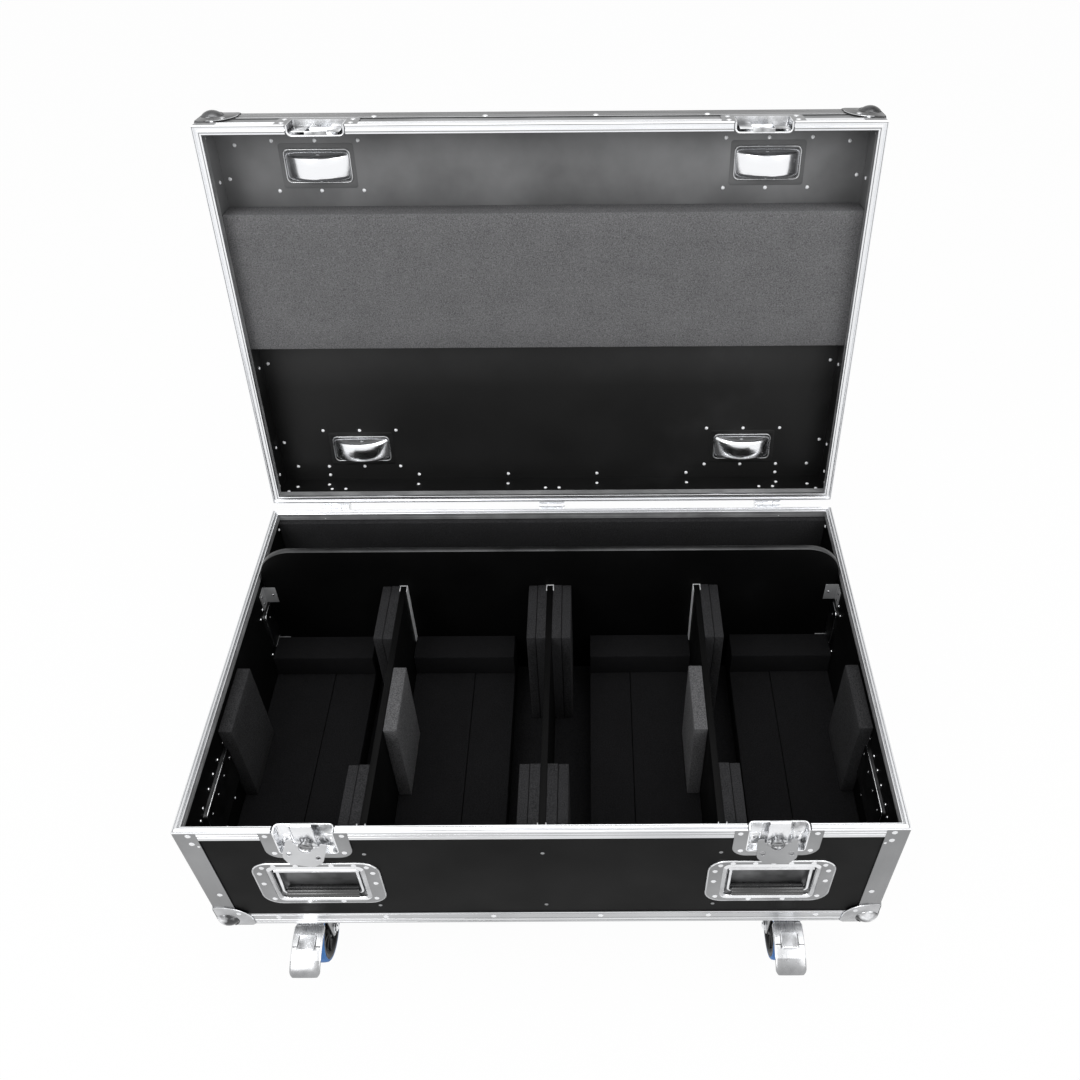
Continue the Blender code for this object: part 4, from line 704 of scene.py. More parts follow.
def rims():
    cap = [(0.0, RIM - METAL), (0.0, RIM - 0.0005), (0.0004, RIM), (0.0016, RIM), (0.0018, RIM - 0.0005),
           (0.0026, RIM - 0.0005), (0.0028, RIM), (0.0035, RIM), (0.0035, RIM + 0.0021),
           (0.0039, RIM + 0.0025), (0.0061, RIM + 0.0025), (0.0065, RIM + 0.0021), (0.0065, RIM),
           (0.0076, RIM), (0.0078, RIM - 0.0004), (0.0084, RIM - 0.0004), (0.0086, RIM), (0.0096, RIM),
           (0.0100, RIM - 0.0004), (0.0100, RIM - METAL)]
    lip = [(0.0088, RIM - METAL), (0.0100, RIM - METAL), (0.0100, RIM - 0.0062), (0.0097, RIM - 0.0064),
           (0.0097, RIM - 0.0070), (0.0100, RIM - 0.0072), (0.0100, RIM - 0.0130), (0.0088, RIM - 0.0130)]
    lines = ((RIM - 0.0050, 0.0011), (RIM - 0.0105, 0.0011))
    flange = faced(RIM - 0.0180, RIM - METAL, lines) + [(METAL, RIM - METAL), (METAL, RIM - 0.0180)]
    # Strips in the cap's grooves, in a darker finish: painted shadow.
    grooves = (strip(0.0016, 0.0028, RIM - 0.0004, RIM - 0.0002),
               strip(0.0066, 0.0072, RIM - 0.0001, RIM + 0.0001),
               strip(0.0076, 0.0086, RIM - 0.0003, RIM - 0.0001))
    rim_set("tub", cap, lip, flange, lines, grooves, 0.0402, "tub")
    low = RIM + GAP
    bar = RIM + 0.0053
    lid_cap = [(0.0, bar), (0.0, low + 0.0004), (0.0004, low), (0.0012, low), (0.0014, low + 0.0005),
               (0.0020, low + 0.0005), (0.0022, low), (0.0029, low), (0.0029, RIM + 0.0031),
               (0.0071, RIM + 0.0031), (0.0071, low), (0.0086, low), (0.0088, low + 0.0005),
               (0.0096, low + 0.0005), (0.0098, low), (0.0116, low), (0.0120, low + 0.0004), (0.0120, bar)]
    lid_lip = [(0.0088, bar), (0.0120, bar - 0.0002), (0.0120, bar), (0.0100, bar + 0.0002),
               (0.0100, RIM + 0.0205), (0.0088, RIM + 0.0205)]
    lid_lines = ((RIM + 0.0090, 0.0011), (RIM + 0.0145, 0.0011))
    lid_flange = faced(bar, RIM + 0.0183, lid_lines) + [(METAL, RIM + 0.0183), (METAL, bar)]
    # Strips in the lid cap's grooves, in a darker finish: painted shadow.
    grooves = (strip(0.0012, 0.0022, low + 0.0002, low + 0.0004),
               strip(0.0088, 0.0096, low + 0.0002, low + 0.0004))
    rim_set("lid", lid_cap, lid_lip, lid_flange, lid_lines, grooves, 0.04045, "lid", LID)


# Edge angles and ball corners
def highlight_strips(highlights, start, end, place):
    """Raised strips in a brighter finish along a face: painted highlights on its edges."""
    bits = []
    for first, last in highlights:
        low, high = sorted((first, last))
        edge = (high - low) / 4
        profile = [(0.0003, low), (-0.0002, low + edge), (-0.0002, high - edge), (0.0003, high)]
        bits.append(extruded(profile, start, end, place))
    return bits


def angle_set(prefix, face, mouth, body, matrix=None):
    """Grooved angles along a closed face's edges, plain ones up the corners."""
    up = 1 if mouth > face else -1
    leg = 0.030
    reach = face + up * leg
    lines = ((face + up * 0.0260, 0.0009), (face + up * 0.0130, 0.0010), (face + up * 0.0052, 0.0010))
    profile = faced(face + up * 0.0006, reach, lines) + [(METAL, reach), (METAL, face + up * METAL)]
    profile += [(leg, face + up * METAL), (leg, face), (0.0006, face)]
    # Bright strips along the angle's edges: painted highlights.
    highlights = [(reach, reach - up * 0.0024)]
    if matrix is None:
        highlights.append((face + up * 0.0100, face + up * 0.0078))
    bits = {"long": [], "sides": [], "posts": [], "lines": [], "highlights": []}
    stop = 0.0505
    for side, kind, start, end in WALLS:
        place = wall_place(side)
        bits[kind].append(extruded(profile, start, end, place, (1, 1)))
        bits["lines"] += shadows(lines, start + stop, end - stop, place)
        bits["highlights"] += highlight_strips(highlights, start + stop, end - stop, place)
    low, high = sorted((reach, mouth))
    outline = [(leg, 0), (0.0016, 0), (0.0005, 0.0005), (0, 0.0016), (0, leg), (METAL, leg), (METAL, METAL),
               (leg, METAL)]
    for side_x in (-1, 1):
        for front, side_y in ((FRONT, 1), (BACK, -1)):
            loops = [[(side_x * (HALF - u), front + side_y * v, z) for u, v in outline] for z in (low, high)]
            bits["posts"].append(loft(loops, True, True))
    # The lid's angles take the darkest copy of the aluminium: painted shade.
    finish = FACE if matrix is None else SHADE
    across = finish["y" if matrix is None else "z"]
    piece(prefix + "_angles_long", bits["long"], finish["x"], body, matrix,
          [prefix + "_edge_frame"])
    piece(prefix + "_angles_sides", bits["sides"], across, body, matrix)
    piece(prefix + "_posts", bits["posts"], POST, body, matrix)
    piece(prefix + "_angle_lines", bits["lines"], LINE, body, matrix)
    piece(prefix + "_angle_ridges", bits["highlights"], (CAP if matrix is None else PALE)["x"], body,
          matrix)


def ball_corner(prefix, face, up, body, matrix=None):
    """Four pressed corners: a ball with three fan-shaped legs, each with a rivet."""
    corner = 0.050
    inset = 0.0128
    radius = 0.020
    ring = 0.0154
    fan = [(inset, -METAL), (corner - 0.004, -METAL), (corner, 0.002)]
    fan += arc((0.013, 0.013), 0.0365, 4, 86, 12)
    fan += [(0.002, corner), (-METAL, corner - 0.004), (-METAL, inset)]
    fan += arc((inset, inset), inset + METAL, 180, 270, 8)[1:-1]
    bases = (((1, 0, 0), (0, 1, 0), (0, 0, 1)), ((1, 0, 0), (0, 0, 1), (0, 1, 0)),
             ((0, 1, 0), (0, 0, 1), (1, 0, 0)))
    turns = [math.pi * i / 24 for i in range(25)]
    sphere = moved(lathe([(radius * math.sin(t), radius * math.cos(t)) for t in turns], steps=40),
                   Matrix.Translation((inset, inset, inset)))
    outer = [face for face in sphere[1] if any(min(sphere[0][i]) < 0.0004 for i in face)]
    for side_x in (-1, 1):
        for front, side_y in ((FRONT, 1), (BACK, -1)):
            legs = []
            heads = []
            balls = [(sphere[0], outer)]
            for axes in bases:
                turn = Matrix(axes).transposed().to_4x4()
                legs.append(moved(plate([fan], -METAL, 0.0003, "Z", 0.0004, 2), turn))
                dot = turn @ Matrix.Translation((0.0325, 0.0325, -METAL)) @ Matrix.Rotation(math.pi, 4, "X")
                heads.append(moved(rivet(0.0036, 0.0014), dot))
                # A bright tube along each fan's edge: painted highlight.
                rim = [(u, v, -METAL) for u, v in fan[3:16]]
                heads.append(moved(tube(rim, 0.0006, 2), turn))
                crease = [(inset + ring * math.cos(math.radians(t)), inset + ring * math.sin(math.radians(t)),
                           -METAL)
                          for t in range(-62, 153, 9)]
                balls.append(moved(tube(crease, 0.0009, 2), turn))
            place = (Matrix.Translation((side_x * HALF, front, face))
                     @ Matrix.Diagonal((-side_x, side_y, up, 1)))
            label = ("left" if side_x < 0 else "right") + ("_front" if side_y > 0 else "_back")
            whole = (matrix @ place) if matrix else place
            # The lid's corners take the dark copy, the tub's the paler fans and the patchy balls: painted
            # shade and reflections.
            fans, ball, rivets = (DIM, DIM, SATIN) if matrix else (SATIN, BALL, BRIGHT)
            piece(f"{prefix}_corner_{label}", legs, fans, body, whole)
            piece(f"{prefix}_ball_{label}", balls, ball, body, whole)
            piece(f"{prefix}_corner_rivets_{label}", heads, rivets, body, whole)


# Handles
def dish_surface(sections, steps=6):
    """Loops for a pressed dish from (width, height, corner, depth) sections, in mm."""
    return [[(u, depth / 1000, v) for u, v in rounded(width / 1000, height / 1000, corner / 1000, steps)]
            for width, height, corner, depth in sections]


def handle_pieces():
    edge = [(170, 110, 25, 1.4), (170, 110, 25, 0.5), (169.2, 109.2, 24.6, -0.3), (168, 108, 24, -0.6),
            (166.6, 106.6, 23.3, -0.5), (165.6, 105.6, 22.8, -0.1)]
    bead = [(130, 93, 11, 0.1), (129, 92, 10.5, -0.3), (127.4, 90.4, 9.8, -1.0), (125, 88, 8.8, -1.8),
            (122, 85, 7.8, -2.0), (119.4, 82.4, 7, -1.5), (117.4, 80.4, 6, -0.3), (116.6, 79.0, 6, 1.2)]
    pan = [(116.6, 79.0, 6, 1.2), (124.0, 79.0, 6, 2.6), (122.5, 77.5, 6, 5), (116.5, 71.5, 6, 10.4),
           (113.5, 68.5, 5.6, 11.7), (110, 65, 4.5, 12.0)]
    back = [(w + 2.2, h + 2.2, c + 1, d + 1.2) for w, h, c, d in pan[:0:-1]]
    ribs = 8
    sections = [edge[-1], (130, 93, 11, -0.1), (130, 93, 11, 1.4), edge[0]]
    flange_bits = [loft(dish_surface(sections), False, False)]
    # The upper faces of the edge and bead go into a brighter finish than the rest: painted highlight where
    # light falls from above.
    edge_highlight, edge_rest = parted(loft(dish_surface(edge), False, False), lambda p: p.z > 0.044)
    bead_highlight, bead_rest = parted(loft(dish_surface(bead), False, False), lambda p: abs(p.z) > 0.0375)
    pan_bits = [loft(dish_surface(pan), False, True)]
    back_loops = dish_surface(back)
    back_bits = [loft(back_loops, True, False)]
    crease = tube([tuple(p) for p in back_loops[2]], 0.0006, 2, True)
    spots = [(side * x, z) for side in (-1, 1) for x, z in
             ((0.0530, 0.0490), (0.0235, 0.0490), (0.0690, 0.0438), (0.0752, 0.0285), (0.0752, 0.0010),
              (0.0700, -0.0415), (0.0235, -0.0495))] + [(0, 0.0495)]
    rivet_bits = studs([(x, -0.0001, z) for x, z in spots], "front", rivet(0.0036, 0.0015))
    rivet_bits += studs([(x, 0.0134, 0.022) for x in (-0.045, -0.015, 0.015, 0.045)], "back",
                        rivet(0.0026, 0.0012))
    rivet_bits += studs([(x, 0.0086, z) for x, z in spots if abs(z) > 0.04], "back", rivet_tail())
    rivet_bits.append(crease)
    half = 0.0575
    bar_bits = [lathe([(0, half), (0.0026, half), (0.0032, half - 0.0006), (0.0032, -half + 0.0006),
                       (0.0026, -half), (0, -half)], "X", 20)]
    grip_y = 0.0118 - 0.0087 - 0.0048 + 0.0002
    grip_z = -0.056
    arm_x = 0.0535
    path = [(-arm_x, 0, 0), (-arm_x, grip_y * 0.8, grip_z + 0.010)]
    path += [(-arm_x + 0.006 - 0.006 * math.cos(math.radians(t)), grip_y,
              grip_z + 0.006 - 0.006 * math.sin(math.radians(t)))
             for t in range(0, 91, 18)]
    path += [(-x, y, z) for x, y, z in path[::-1]]
    bar_bits.append(tube(path, 0.003, 4))
    grip_bits = [moved(lathe([(0.0070, 0.049), (0.0081, 0.0486), (0.0086, 0.0474), (0.0086, -0.0474),
                              (0.0081, -0.0486), (0.0070, -0.049)], "X", 72,
                             lambda t: 1 - 0.10 * (0.5 + 0.5 * math.cos(ribs * t)) ** 2),
                       Matrix.Translation((0, grip_y, grip_z)))]
    places = []
    for label, side in SIDES:
        places.append(("front_" + label, Vector((side * 0.302, FRONT, 0.24496)), 0))
        for end, y in (("fore", 0.121), ("aft", 0.477)):
            places.append((label + "_" + end, Vector((side * HALF, FRONT + y, 0.275)), side * 90))
    shared = {}
    for label, place, turn in places:
        whole = Matrix.Translation(place) @ Matrix.Rotation(math.radians(turn), 4, "Z")
        pivot = whole @ Matrix.Translation((0, 0.0048, 0.029))
        dish = ["handle_dish_" + label]
        bail = "handle_bail_" + label
        for kind, bits, finish, spot, body, slot, stands in (
            ("flange", flange_bits, ZINC, whole, "tub", "zinc", dish),
            ("trim", [edge_rest, bead_rest], SATIN, whole, "tub", "zinc", ()),
            ("bead", [edge_highlight, bead_highlight], BRIGHT, whole, "tub", "zinc", ()),
            ("pan", pan_bits, PAN, whole, "tub", "zinc", dish),
            ("back", back_bits, STEEL, whole, "tub", "zinc", ()),
            ("rivets", rivet_bits, BRIGHT, whole, "tub", "zinc", ()),
            ("bar", bar_bits, CHROME, pivot, bail, "chrome", [bail]),
            ("grip", grip_bits, GRIP, pivot, bail, "rubber", ()),
        ):
            placed(shared, kind, f"handle_{kind}_{label}", bits, finish, spot, body, stands)


# Rivet rows
ANGLE_ROW = (-0.379, -0.2275, -0.0755, 0.0755, 0.2275, 0.379)
SIDE_ROW = (0.0865, 0.230, 0.373, 0.517)


def rivet_rows():
    """Rivets of the angles, posts and front channels, with their tails inside."""
    low = BASE + 0.0195
    heads = []
    for facing, y in (("front", FRONT), ("back", BACK)):
        heads += studs([(x, y, low) for x in ANGLE_ROW], facing)
        heads += studs([(side * 0.445, y, RIM + z) for side in (-1, 1) for z in (-0.0070, -0.0260, -0.1630)],
                       facing)
        heads += studs([(side * 0.4380, y, RIM - 0.0330) for side in (-1, 1)], facing, rivet(0.0020, 0.0008))
    for facing, side in SIDES:
        x = side * HALF
        heads += studs([(x, FRONT + s, low) for s in SIDE_ROW], facing)
        heads += studs([(x, y, RIM + z) for y in (FRONT + 0.020, BACK - 0.020)
                        for z in (-0.0070, -0.0260, -0.1630)],
                       facing)
    piece("tub_rivets", heads, BRIGHT, "tub")
    small = rivet(0.0027, 0.0009)
    dull = studs([(x, FRONT + SKIN, RIM + z) for x in (-PITCH, 0, PITCH) for z in (-0.057, -0.199)], "front",
                 small)
    piece("panel_rivets", dull, POST, "tub")
    tails = []
    for facing, side in (("right", -1), ("left", 1)):
        x = side * (HALF - WALL)
        tails += studs([(x, y, RIM + z) for y in (FRONT + 0.0200, BACK - 0.0200) for z in (-0.0260, -0.1630)],
                       facing, rivet_tail())
    tails += studs([(side * 0.3775, BACK - WALL, RIM - 0.0100) for side in (-1, 1)], "front", rivet_tail())
    piece("tub_rivet_tails", tails, TAIL, "tub")

    high = TOP - 0.0250
    heads = studs([(x, FRONT, high) for x in ANGLE_ROW if abs(x) < 0.3], "front")
    heads += studs([(x, BACK, high) for x in ANGLE_ROW], "back")
    heads += studs([(x, y, TOP) for x in ANGLE_ROW for y in (FRONT + 0.0180, BACK - 0.0180)], "up")
    for facing, side in SIDES:
        heads += studs([(side * HALF, FRONT + s, high) for s in SIDE_ROW], facing)
        heads += studs([(side * (HALF - 0.0180), FRONT + s, TOP) for s in SIDE_ROW], "up")
        heads += studs([(side * HALF, y, RIM + 0.0215) for y in (FRONT + 0.021, BACK - 0.021)], facing)
        heads += studs([(side * 0.443, FRONT, RIM + 0.0240)], "front")
        heads += studs([(side * 0.443, BACK, RIM + 0.0240)], "back")
    piece("lid_rivets", heads, BRIGHT, "lid", LID)
    tail = rivet_tail()
    tails = studs([(x, BACK - WALL, high) for x in ANGLE_ROW], "front", tail)
    tails += studs([(x, BACK - 0.0180, TOP - WALL) for x in ANGLE_ROW], "down", tail)
    for facing, side in (("right", -1), ("left", 1)):
        x = side * (HALF - WALL)
        tails += studs([(x, FRONT + s, high) for s in SIDE_ROW], facing, tail)
        tails += studs([(x + side * (-0.0095), FRONT + s, TOP - WALL) for s in SIDE_ROW], "down", tail)
        tails += studs([(x, y, RIM + 0.0215) for y in (FRONT + 0.021, BACK - 0.021)], facing, tail)
        tails += studs([(x, BACK - 0.0345, TOP - 0.0345)], facing, tail)
        tails += studs([(side * 0.443, BACK - WALL, RIM + 0.0240), (side * 0.431, BACK - WALL, TOP - 0.0315)],
                       "front", tail)
        tails += studs([(side * 0.431, y, TOP - WALL) for y in (FRONT + 0.0400, BACK - 0.0350)], "down", tail)
    for x in (-HINGE_X, 0, HINGE_X):
        tails += studs([(x + side * 0.0115, BACK - WALL, RIM + 0.0310) for side in (-1, 1)], "front", tail)
    for y in (FRONT + DISH_INSET, BACK - DISH_INSET):
        for side in (-1, 1):
            tails += studs([(side * DISH_X + u, y + v, TOP - WALL) for u, v in DISH_RIVETS], "down", tail)
    piece("lid_rivet_tails", tails, TAIL, "lid", LID)


# Latches and keepers
def shell(rows, thick):
    """A sheet through open rows of points, given a thickness."""
    shape = bmesh.new()
    grid = [[shape.verts.new(p) for p in row] for row in rows]
    for near, far in zip(grid, grid[1:]):
        for i in range(len(near) - 1):
            shape.faces.new((near[i], near[i + 1], far[i + 1], far[i]))
    bmesh.ops.remove_doubles(shape, verts=shape.verts, dist=0.000002)
    shape.normal_update()
    bmesh.ops.solidify(shape, geom=shape.faces[:], thickness=thick)
    return from_mesh(shape)


def pocket_plan(half, depth, corner, steps=6):
    """Plan of a pocket from its left front end round the back to its right front end."""
    points = [(-half, 0)] + arc((corner - half, depth - corner), corner, 180, 90, steps)
    return points + arc((half - corner, depth - corner), corner, 90, 0, steps) + [(half, 0)]


def pocket(half, depth, corner, mouth, floor, fillet):
    """A pressed pocket, open at the mouth and in front; mouth and floor are heights."""
    way = 1 if floor > mouth else -1
    turn = floor - way * fillet
    levels = [(0, mouth), (0, (mouth + turn) / 2)]
    levels += [(fillet * (1 - math.cos(math.radians(a))), turn + way * fillet * math.sin(math.radians(a)))
               for a in range(0, 91, 15)]
    rows = [[(u, v, z) for u, v in pocket_plan(half - o, depth - o, corner - o * 0.9)] for o, z in levels]
    rows.append([(u, 0, floor) for u, v, z in rows[-1]])
    return rows


def flange_with_mouth(outer, half, floor, top, fillet, soft=0.0003):
    """The flat flange round a pocket that is open at its top edge."""
    way = 1 if floor > top else -1
    turns = (0, 90) if way > 0 else (0, -90)
    inner = arc((half - fillet, floor - way * fillet), fillet, turns[0], turns[1], 6)
    inner += [(-u, v) for u, v in inner[::-1]]
    edge = [(half, top)] + inner + [(-half, top)]
    return plate([outer + edge], -METAL, 0, "Y", soft, 2)


def latch_pieces():
    half = LATCH_HALF
    low = -0.063
    outer = [(-half, -SKIN)] + arc((0.020 - half, low + 0.020), 0.020, 180, 270, 8)
    outer += arc((half - 0.020, low + 0.020), 0.020, 270, 360, 8) + [(half, -SKIN)]
    inner_half = 0.0378
    floor = -0.0508
    fillet = 0.0045
    flange_bits = [flange_with_mouth(outer, inner_half, floor, -SKIN, fillet)]
    dish_bits = [shell(pocket(inner_half, 0.0128, 0.0058, -0.0002, floor, fillet), METAL)]
    lip = [(u, v, -0.0010) for u, v in pocket_plan(inner_half + 0.0002, 0.0131, 0.0060)]
    bead_bits = [tube(lip, 0.0011, 3)]
    mouth = [(inner_half, z) for z in (-0.0030, -0.020)]
    mouth += arc((inner_half - fillet, floor + fillet), fillet, 0, -90, 6)
    mouth += [(-u, v) for u, v in mouth[::-1]]
    bead_bits.append(tube([(u, 0.0002, v) for u, v in mouth], 0.0009, 3))
    for side in (-1, 1):
        rib = [(side * 0.0200, 0.0118, z) for z in (-0.0030, -0.0200, -0.0380)]
        dish_bits.append(tube(rib, 0.0011, 3))
        dish_bits.append(plate([softened([(side * 0.0215, -0.0460, 0.0015), (side * 0.0360, -0.0460, 0.0030),
                                          (side * 0.0360, -0.0240, 0.0050),
                                          (side * 0.0215, -0.0240, 0.0015)])],
                               -0.0130, -0.0105, "Y", 0.0006, 2))
    rivet_bits = studs([(side * x, 0.0001, z) for side in (-1, 1)
                        for x, z in ((0.0485, -0.0085), (0.0450, -0.0505))]
                       + [(0.0020, 0.0001, -0.0572)], "front", rivet(0.0036, 0.0014))
    rivet_bits += studs([(side * 0.0300, 0.0105, -0.0350) for side in (-1, 1)], "front",
                        rivet(0.0052, 0.0030))
    rivet_bits += studs([(side * 0.0255, 0.0128, -0.0130) for side in (-1, 1)], "front",
                        rivet(0.0026, 0.0012))

    outline = [(0, 0.0026), (0.0058, 0.0026), (0.0064, 0.0030), (0.0068, 0.0049), (0.0071, 0.0052),
               (0.0079, 0.0052), (0.0085, 0.0046), (0.0085, 0.0014), (0.0080, 0.0009), (0.0050, 0.0009),
               (0.0050, -0.0096), (0.0077, -0.0096), (0.0080, -0.0099), (0.0080, -0.0125), (0, -0.0125)]
    hub_bits = [lathe(outline, "Y", 40)]
    pin = [(0, 0.0125), (0.0009, 0.0125), (0.00125, 0.0122), (0.00125, -0.0122), (0.0009, -0.0125),
           (0, -0.0125)]
    hub_bits.append(moved(lathe(pin, "X", 16), Matrix.Translation((0, -PIN_OUT, 0))))

    knuckle = 0.0026
    notch = 0.0091
    toe = -0.0295
    lobe = 0.0075
    shoulder = 0.0168
    wing = softened([(-shoulder, lobe, 0.0030), (-0.026, lobe, 0.0050), (-0.026, -0.0205, 0.0085),
                     (-0.0155, toe, 0.0070), (0.0155, toe, 0.0035), (0.026, -0.0205, 0.0085),
                     (0.026, lobe, 0.0050), (shoulder, lobe, 0.0030)], 7)
    wing += [(shoulder, knuckle), (notch, knuckle - 0.0008)] + arc((0, 0), notch, -9, -171, 18)
    wing += [(-notch, knuckle - 0.0008), (-shoulder, knuckle)]
    holes = [arc((side * 0.0185, -0.014), 0.0028, 0, 345, 23) for side in (-1, 1)]
    wing_bits = [plate([wing, *holes], -0.0011, 0.0011, "Y", 0.0005, 2)]
    for side in (-1, 1):
        for face in (-0.0011, 0.0011):
            ring = [(side * 0.0185 + u, face, -0.014 + v) for u, v in arc((0, 0), 0.0035, 0, 345, 23)]
            wing_bits.append(tube(ring, 0.0005, 3, True))
        barrel = [(0.00155, 0.0125), (0.0023, 0.0125), (knuckle, 0.0122), (knuckle, 0.0095), (0.0023, 0.0092),
                  (0.00155, 0.0092), (0.00155, 0.0125)]
        wing_bits.append(lathe([(r, side * h) for r, h in barrel], "X", 20))

    slot = 0.0055
    hole = arc((0, -0.0210), slot, 0, 180, 12) + arc((0, -0.0285), slot, 180, 360, 12)
    flat = softened([(-0.013, -0.041, 0.002), (0.013, -0.041, 0.002), (0.013, 0.0097, 0),
                     (-0.013, 0.0097, 0)])
    hook_bits = [plate([flat, hole], -0.0028, -0.0010, "Y", 0.0004, 2)]
    bend = [(0.0010, 0.0090)] + [(0.0037 - 0.0027 * math.cos(math.radians(a)),
                                  0.0096 + 0.0027 * math.sin(math.radians(a)))
                                 for a in range(0, 91, 15)]
    bend += [(0.0063, 0.0123), (0.0067, 0.0121), (0.0068, 0.0117), (0.0068, 0.0110), (0.0066, 0.0106),
             (0.0063, 0.0105)]
    bend += [(0.0037 - 0.0009 * math.cos(math.radians(a)), 0.0096 + 0.0009 * math.sin(math.radians(a)))
             for a in range(90, -1, -15)] + [(0.0028, 0.0090)]
    hook_bits.append(loft([[(x, y, z) for y, z in bend] for x in (-0.0128, 0.0128)], True, True))
    step = [(-0.0130, 0.0028, z) for z in (-0.006, 0.0066)]
    hook_bits += [tube([(-x, y, z) for x, y, z in step], 0.0006, 2), tube(step, 0.0006, 2)]

    keeper_low = 0.0056
    keeper_high = 0.0397
    outer = [(half, keeper_low)] + arc((half - 0.0057, keeper_high - 0.0057), 0.0057, 0, 90, 6)
    outer += arc((0.0057 - half, keeper_high - 0.0057), 0.0057, 90, 180, 6) + [(-half, keeper_low)]
    keeper_half = 0.03805
    edge = [(-keeper_half, keeper_low)] + arc((0.004 - keeper_half, 0.0288), 0.004, 180, 90, 6)
    edge += [(-u, v) for u, v in edge[::-1]]
    keeper_flange = [plate([outer + edge], -METAL, 0, "Y", 0.0003, 2)]
    keeper_bits = [shell(pocket(keeper_half, 0.0138, 0.0058, 0.0008, 0.0328, 0.004), -METAL)]
    lip = [(u, v, 0.0016) for u, v in pocket_plan(keeper_half + 0.0002, 0.0141, 0.0060)]
    keeper_trim = [tube(lip, 0.0013, 3)]
    keeper_bits.append(block((-0.0150, 0.0081, 0.0006), (0.0150, 0.0140, 0.0027), 0.0006))
    for side in (-1, 1):
        x = sorted((side * 0.0150, side * 0.0322))
        keeper_bits.append(block((x[0], 0.0081, 0.0012), (x[1], 0.0093, 0.0329), 0.0003))
    keeper_trim += studs([(side * 0.0465, 0.0001, z) for side in (-1, 1) for z in (0.0125, 0.0320)], "front",
                         rivet(0.0036, 0.0012))
    shared = {}
    for label, side in SIDES:
        degrees = LEFT_WING_TURN_DEG if side < 0 else 0
        share = degrees / HALF_TURN_DEG
        corner = Matrix.Translation((side * LATCH_X, FRONT, RIM))
        hub = corner @ Matrix.Translation((0, 0, -HUB_DROP)) @ Matrix.Rotation(math.radians(degrees), 4, "Y")
        fold = (hub @ Matrix.Translation((0, -PIN_OUT, 0))
                @ Matrix.Rotation(math.radians(-WING_REST_DEG), 4, "X"))
        drawn = corner @ Matrix.Translation((0, 0.0050 * share, -0.0075 * share))
        over = LID @ corner
        dish, keeper = ["latch_dish_" + label], ["latch_keeper_" + label]
        hub_body, hook_body, wing_body = (f"latch_{word}_{label}" for word in ("hub", "hook", "wing"))
        for kind, bits, finish, spot, body, stands in (
            ("latch_flange", flange_bits, ZINC, corner, "tub", dish),
            ("latch_pocket", dish_bits, MIRROR, corner, "tub", dish),
            ("latch_bead", bead_bits, BRIGHT, corner, "tub", ()),
            ("latch_rivets", rivet_bits, BRIGHT, corner, "tub", ()),
            ("latch_hub", hub_bits, ZINC, hub, hub_body, [hub_body]),
            ("latch_hook", hook_bits, BRIGHT, drawn, hook_body, [hook_body]),
            ("keeper_flange", keeper_flange, ZINC, over, "lid", keeper),
            ("keeper_pocket", keeper_bits, MIRROR, over, "lid", keeper),
            ("keeper_trim", keeper_trim, BRIGHT, over, "lid", ()),
        ):
            placed(shared, kind, f"{kind}_piece_{label}", bits, finish, spot, body, stands)
        # The left wing takes the lighter copy of the finish: painted light.
        piece("latch_wing_piece_" + label, wing_bits, WINGS[side > 0], wing_body, fold, [wing_body])


